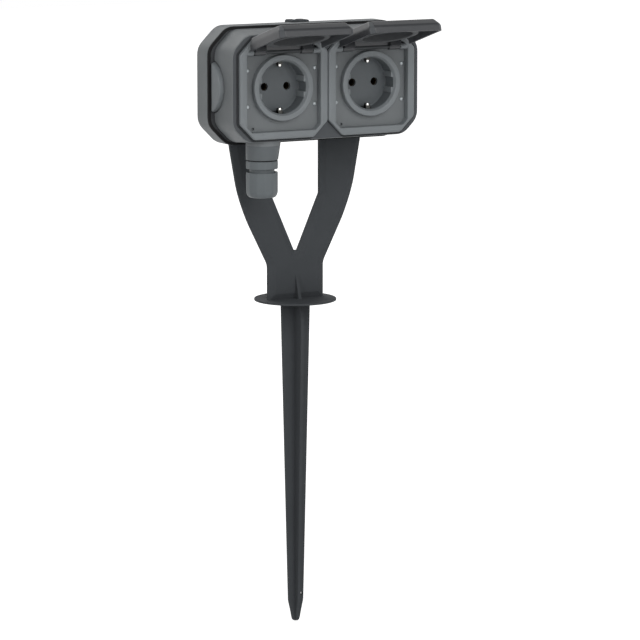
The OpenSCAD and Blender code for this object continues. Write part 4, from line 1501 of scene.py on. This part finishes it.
@dataclass
class SpikePost:
    """Y-shaped post with its head behind the box, the round ground plate and the ribbed spike."""

    mid_z: float = MID_Z
    y_face: float = Y_REAR
    y_back: float = 2.0
    stem_half: float = 23.9
    arm_in: float = 20.5
    arm_out: float = 57.0
    edge_w: float = 5.0
    edge_d: float = 2.0
    plate_r: float = 31.7
    plate_t: float = 1.6
    spike_len: float = 254.4
    spike_half: float = 12.4
    spike_end: float = 6.3
    rib_t: float = 2.6
    rib_top: float = 23.0
    rib_full: float = -14.0
    rib_in: float = 0.5
    rib_round: float = 0.4
    tip_round: float = 1.2
    tip_hole: tuple[float, float, float] = (3.6, -233.5, 2.0)
    bar_half: float = 7.8
    bar_over: float = 3.0
    bar_under: float = 0.6
    hook_low: float = 214.1
    hook_high: float = 215.5
    hook_dip: float = 0.6
    hook_out: float = 6.0
    hook_edge: float = 0.3
    hook_taper: float = 1.0
    hook_notch: float = 2.0
    hook_round: float = 0.5
    screw_x: float = 38.75
    screw_z: tuple[float, float] = (-27.0, 23.0)
    screw_r: float = 4.0
    screw_high: float = 2.5
    cross_half: float = 2.2
    cross_deep: float = 1.4
    back_in: float = 2.5
    face_in: float = 1.0
    bridge_low: float = 20.0
    bridge_high: float = 6.0
    bridge_over: float = 2.0
    head_round: float = 0.6
    sunk: float = 0.01
    hub_r: float = 6.0
    wing_top: float = 0.4
    hole_reach: float = 4.0

    def outline(self) -> tuple[Array, Array]:
        """Outline of the arms and the stem.

        Returns:
            Corners, anticlockwise, and how far each is rounded.
        """
        z, out, inner = self.mid_z, self.arm_out, self.arm_in
        # Distance from the middle, height and rounding of each right-hand corner, from the foot round to
        # the crotch of the Y.
        half = [
            [self.stem_half, 0.0, 0.2],
            [self.stem_half, 28.0, 3.0],
            [self.stem_half + 17.5, 62.5, 6.0],
            [out - 10.3, z - 93.2, 6.0],
            [out - 6.6, z - 81.2, 6.0],
            [out - 0.6, z - 48.2, 3.0],
            [out, z - 41.2, 3.0],
            [out, z + 22.0, 3.0],
            [out - 10.0, z + 32.0, 3.0],
            [inner + 10.0, z + 32.0, 3.0],
            [inner, z + 22.0, 3.0],
            [inner, z - 88.2, 1.0],
            [1.5, 38.0, 0.6],
        ]
        rows = np.array(half + [[-x, up, trim] for x, up, trim in half[::-1]])
        return rows[:, :2], rows[:, 2]

    def rib(self, top: list) -> tuple[Array, Array]:
        """Outline of one pair of the spike's ribs.

        Args:
            top: Right-hand points from the top down to the long taper.

        Returns:
            Corners, anticlockwise, and how far each is rounded.
        """
        end = -self.spike_len
        tip = [[self.spike_end, end + 16.5], [4.4, end + 8.4], [3.1, end + 2.0], [2.2, end]]
        half = top + tip
        corners = [[-x, z] for x, z in half] + half[::-1]
        trims = np.full(len(corners), self.rib_round)
        trims[len(top) : len(corners) - len(top)] = self.tip_round
        return np.array(corners), trims

    def head(self) -> list[Surface]:
        """Head behind the box.

        Returns:
            The bridge between the arms, the upright bar, and its hook over the box's top edge.
        """
        face, back, half = self.y_face, self.y_back, self.bar_half
        low, high = self.mid_z - self.bridge_low, self.mid_z + self.bridge_high
        wide, sunk = self.arm_in + self.bridge_over, self.sunk
        bridge = slab((-wide, face + sunk, low), (wide, back - sunk, high), self.head_round)
        foot, end = high - self.bar_over, self.hook_high - self.bar_under
        bar = slab((-half, face + 2 * sunk, foot), (half, back - 2 * sunk, end), self.head_round)
        low, top, dip = self.hook_low, self.hook_high, self.hook_high - self.hook_dip
        side, notch = half - self.hook_taper, self.hook_notch
        notched = [[notch, top], [0.0, dip], [-notch, top]]
        tongue = [[-half, low], [half, low], [side, top], *notched, [-side, top]]
        tip, edge = face - self.hook_out, self.hook_edge
        profile = [[edge, back], [0, back], [0, tip], [edge, tip]]
        hook = plate(tongue, self.hook_round, profile, [0, edge, edge, 0], Axis.Y)
        return [bridge, bar, hook]

    def disc(self) -> Surface:
        """Round ground plate."""
        hub, radius, half = self.hub_r, self.plate_r, self.plate_t / 2
        profile = [[hub, -half], [radius, -half], [radius, half], [hub, half]]
        return revolve(profile, [0, 0.5, 0.5, 0], (0, 0, 0), Axis.Z, sides=128)

    def ribs(self) -> list[Surface]:
        """The spike's two pairs of ribs, across and along the depth."""
        thick = self.rib_t / 2
        profile = [[self.rib_in, thick], [0.0, thick], [0.0, -thick], [self.rib_in, -thick]]
        edge = [0, 0.4, 0.4, 0]
        wing = self.rib([[self.spike_half, self.wing_top]])
        keel = self.rib([[self.y_back, self.rib_top], [self.spike_half, self.rib_full]])
        return [plate(*wing, profile, edge, Axis.Y), plate(*keel, profile, edge, Axis.X)]

    def build_post(self) -> None:
        """Post: sloping front edges on the Y outline, joined to its head, plate and ribs."""
        face, back = self.y_face, self.y_back
        profile = [
            [self.back_in, back],
            [0.0, back],
            [0.0, face + self.edge_d],
            [self.edge_w, face],
            [self.edge_w + self.face_in, face],
        ]
        body = plate(*self.outline(), profile, [0, 0.7, 0.5, 0.8, 0], Axis.Y)
        piece = make_piece("post_and_spike", body)
        carve(piece, Carve.JOIN, *self.head(), self.disc(), *self.ribs())
        x, z, radius = self.tip_hole
        hole = rod(radius, Axis.Y, (x, 0.0, z), -self.hole_reach, self.hole_reach)
        carve(piece, Carve.CUT, hole)
        settle(piece, POST_GREY, STAND, "spike_post")

    def build_screws(self) -> None:
        """Domed cross-recess screws on the back of the arms."""
        y, high = self.y_back, self.screw_high
        spots = [(x, self.mid_z + z) for x in (-self.screw_x, self.screw_x) for z in self.screw_z]
        heads = [screw_head((x, y, z), self.screw_r, high, 1.0) for x, z in spots]
        piece = make_piece("arm_screw_heads", *heads)
        cross_cut(piece, [(x, y + high, z) for x, z in spots], self.cross_half, self.cross_deep)
        settle(piece, ZINC, STAND, "post_screws")

    def build(self) -> None:
        """Makes the post and its screws."""
        self.build_post()
        self.build_screws()


def screw_head(spot: tuple, radius: float, height: float, way: float) -> Surface:
    """Domed screw head on a plane across Y.

    Args:
        spot: Middle of the head's seat.
        radius: Radius of the head.
        height: Height of the head.
        way: 1 where it stands out towards +Y, -1 towards -Y.

    Returns:
        The surface.
    """
    foot, shoulder, top = -0.3 * way, 0.4 * height * way, height * way
    widths = [0.3 * radius, radius, radius, 0.62 * radius, 0.2 * radius]
    profile = list(zip(widths, [foot, foot, shoulder, top, top]))
    return revolve(profile, [0, 0.05, 0.3 * height, 0.35 * height, 0], spot, Axis.Y, sides=40)


def cross_cut(piece: bpy.types.Object, spots: list[tuple], half: float, deep: float) -> None:
    """Cross recesses in screw heads.

    Args:
        piece: Heads to cut.
        spots: Middle of each head's top.
        half: Half length of the cross.
        deep: Depth of the cross.
    """
    thin = 0.24 * half
    for x, y, z in spots:
        for a, b in ((half, thin), (thin, half)):
            low, high = (x - a, y - deep, z - b), (x + a, y + deep, z + b)
            carve(piece, Carve.CUT, slab(low, high, 0.2 * thin))


@dataclass
class InsertScrews:
    """Small screws that hold the inserts in their frames."""

    pitch: float = PITCH
    mid_z: float = MID_Z
    x: float = 28.4
    z: float = 13.5
    y_floor: float = Y_FLOOR
    radius: float = 1.6
    height: float = 0.8

    def build(self) -> None:
        """Eight domed heads in one piece."""
        spots = [
            (side.value * self.pitch / 2 + a * self.x, self.y_floor, self.mid_z + b * self.z)
            for side in Side
            for a in (-1, 1)
            for b in (-1, 1)
        ]
        heads = [screw_head(spot, self.radius, self.height, -1.0) for spot in spots]
        piece = make_piece("insert_screw_heads", *heads)
        settle(piece, DULL_ZINC, STAND, "insert_screws")


CAD_FINISHES = {
    "gland_washer": SEAL_BLACK,
    "gland_seal": SEAL_BLACK,
    "cover_screws": ZINC,
    "carrier_screws": ZINC,
    "terminal_nuts": ZINC,
    "earth_screws": ZINC,
    "left_hinge_rod": INNER_GREY,
    "right_hinge_rod": INNER_GREY,
    "left_contact_carrier": INNER_GREY,
    "right_contact_carrier": INNER_GREY,
    "thrust_ring": INNER_GREY,
    # The pin contacts take the darkened brass: painted shade in the pin holes.
    "left_pin_contacts": SHADED_BRASS,
    "right_pin_contacts": SHADED_BRASS,
    "live_link": BRASS,
    "neutral_link": BRASS,
    "earth_link": BRASS,
}


def dress_cad_nodes() -> None:
    """Gives the CAD nodes that keep their own shape their finishes."""
    for name, finish in CAD_FINISHES.items():
        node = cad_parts[name]
        node.data.materials.clear()
        node.data.materials.append(finish.material())
        LOG.info("%s keeps its CAD shape in %s", name, finish.name)


@dataclass
class PhotoCamera:
    """Camera at the photograph's viewing angle.

    Attributes:
        azimuth: Degrees round the object; 0 looks along +Y.
        elevation: Degrees above the horizon.
        distance: Distance from the camera's plane to the frame's origin.
        focal_px: Focal length in pixels of the image.
        image_px: Width and height of the image.
        origin_px: Where the frame's origin falls in the image.
        sensor: Width of the camera's sensor.
        clip: Nearest and furthest distance that it sees, in metres.
    """

    azimuth: float = -28.415
    elevation: float = 9.306
    distance: float = 2716.4
    focal_px: float = 3524.07
    image_px: float = 640.0
    origin_px: tuple[float, float] = (295.211, 298.699)
    sensor: float = 36.0
    clip: tuple[float, float] = (0.05, 60.0)

    def build(self) -> None:
        """Makes the camera and gives it to the scene."""
        a, e = math.radians(self.azimuth), math.radians(self.elevation)
        ahead = Vector((-math.sin(a) * math.cos(e), math.cos(a) * math.cos(e), -math.sin(e)))
        right = Vector((math.cos(a), math.sin(a), 0.0))
        up = right.cross(ahead)
        share = self.distance / self.focal_px
        half = self.image_px / 2
        eye = -ahead * self.distance
        eye -= right * (self.origin_px[0] - half) * share
        eye -= up * (half - self.origin_px[1]) * share
        data = bpy.data.cameras.new("photo_camera")
        data.sensor_width = self.sensor
        data.lens = self.focal_px / self.image_px * self.sensor
        data.clip_start, data.clip_end = self.clip
        camera = bpy.data.objects.new("photo_camera", data)
        camera.location = eye * MM
        camera.rotation_euler = ahead.to_track_quat("-Z", "Y").to_euler()
        bpy.context.scene.collection.objects.link(camera)
        bpy.context.scene.camera = camera


@dataclass(frozen=True)
class Lamp:
    """Soft square lamp.

    Attributes:
        name: Name of the lamp.
        place: Where it hangs.
        aim: Point that it faces.
        size: Length of its side.
        power: Power in watts.
    """

    name: str
    place: tuple[float, float, float]
    aim: tuple[float, float, float]
    size: float
    power: float

    def build(self) -> None:
        """Hangs the lamp and turns it to its aim."""
        data = bpy.data.lights.new(self.name, "AREA")
        data.size = self.size * MM
        data.energy = self.power
        lamp = bpy.data.objects.new(self.name, data)
        lamp.visible_camera = False
        lamp.location = Vector(self.place) * MM
        ahead = Vector(self.aim) - Vector(self.place)
        lamp.rotation_euler = ahead.to_track_quat("-Z", "Y").to_euler()
        bpy.context.scene.collection.objects.link(lamp)


LAMPS = (
    Lamp("key_lamp", (0.0, -2100.0, 1150.0), (0.0, 0.0, 60.0), 1700.0, 27.0),
    Lamp("left_lamp", (-2100.0, -900.0, 700.0), (0.0, 0.0, 20.0), 900.0, 8.0),
    Lamp("back_lamp", (-400.0, 1700.0, 1700.0), (0.0, 0.0, 100.0), 1400.0, 13.0),
)


@dataclass
class Studio:
    """Pale floor, soft lamps and a plain world."""

    floor_z: float = -255.2
    floor_half: float = 6000.0
    floor_tone: float = 0.74
    floor_rough: float = 0.9
    glow_near: float = 0.74
    glow_far: float = 0.97
    glow_reach: tuple[float, float] = (0.35, 1.6)
    world_strength: float = 0.24
    fade_heights: tuple[float, float] = (0.55, 0.85)

    def build_floor(self) -> None:
        """Pale floor that stays white to the camera and keeps the object's shadow."""
        half, z = self.floor_half * MM, self.floor_z * MM
        mesh = bpy.data.meshes.new("floor")
        corners = [(-half, -half, z), (half, -half, z), (half, half, z), (-half, half, z)]
        mesh.from_pydata(corners, [], [(0, 1, 2, 3)])
        floor = bpy.data.objects.new("floor", mesh)
        bpy.context.scene.collection.objects.link(floor)
        pale = bpy.data.materials.new("pale_floor")
        pale.use_nodes = True
        graph = Graph(pale.node_tree)
        reach = graph.vector("LENGTH", graph.add("ShaderNodeTexCoord").outputs["Object"])
        near, far = self.glow_reach
        ranges = {"From_Min": near, "From_Max": far, "To_Min": self.glow_near, "To_Max": self.glow_far}
        lift = graph.add("ShaderNodeMapRange", Value=reach.outputs["Value"], **ranges)
        rays = graph.add("ShaderNodeLightPath").outputs
        seen = graph.math("MAXIMUM", rays["Is Camera Ray"], rays["Is Glossy Ray"])
        look = {
            "Base Color": (self.floor_tone, self.floor_tone, self.floor_tone, 1.0),
            "Roughness": self.floor_rough,
            "Emission Color": WHITE,
            "Emission Strength": graph.math("MULTIPLY", seen, lift.outputs["Result"]),
        }
        for name, value in look.items():
            graph.feed(pale.node_tree.nodes["Principled BSDF"].inputs[name], value)
        mesh.materials.append(pale)

    def build_world(self) -> None:
        """World that is white to the camera and gives soft light; reflections of it darken upwards."""
        world = bpy.data.worlds.new("studio_world")
        bpy.context.scene.world = world
        world.use_nodes = True
        graph = Graph(world.node_tree)
        shader = world.node_tree.nodes["Background"]
        rays = graph.add("ShaderNodeLightPath").outputs
        heading = graph.add("ShaderNodeTexCoord").outputs["Generated"]
        height = graph.add("ShaderNodeSeparateXYZ", Vector=heading).outputs["Z"]
        low, high = self.fade_heights
        ranges = {"From_Min": low, "From_Max": high, "To_Min": 1.0, "To_Max": self.world_strength}
        fade = graph.add("ShaderNodeMapRange", Value=height, **ranges).outputs["Result"]
        bounced = graph.math("MAXIMUM", rays["Is Glossy Ray"], rays["Is Transmission Ray"])
        faded = graph.math("MULTIPLY", bounced, fade)
        seen = graph.math("MAXIMUM", rays["Is Camera Ray"], faded)
        graph.feed(shader.inputs["Color"], WHITE)
        graph.feed(shader.inputs["Strength"], graph.math("MAXIMUM", seen, self.world_strength))

    def build(self) -> None:
        """Makes the floor, the world and the lamps."""
        bpy.context.scene.view_settings.view_transform = "Standard"
        self.build_floor()
        self.build_world()
        for lamp in LAMPS:
            lamp.build()


def main() -> None:
    """Builds the object, the studio and the camera."""
    logging.basicConfig(level=logging.INFO, format="%(name)s: %(message)s")
    PhotoCamera().build()
    Studio().build()
    gland = CableGland()
    shells = BoxShells()
    shells.build_rear()
    shells.build_seal()
    shells.build_cover(gland.spout())
    for side in Side:
        shells.build_blank(side)
        SocketUnit(side).build()
        FlipLid(side).build()
    InsertScrews().build()
    gland.build()
    SpikePost().build()
    dress_cad_nodes()


if __name__ == "__main__":
    main()
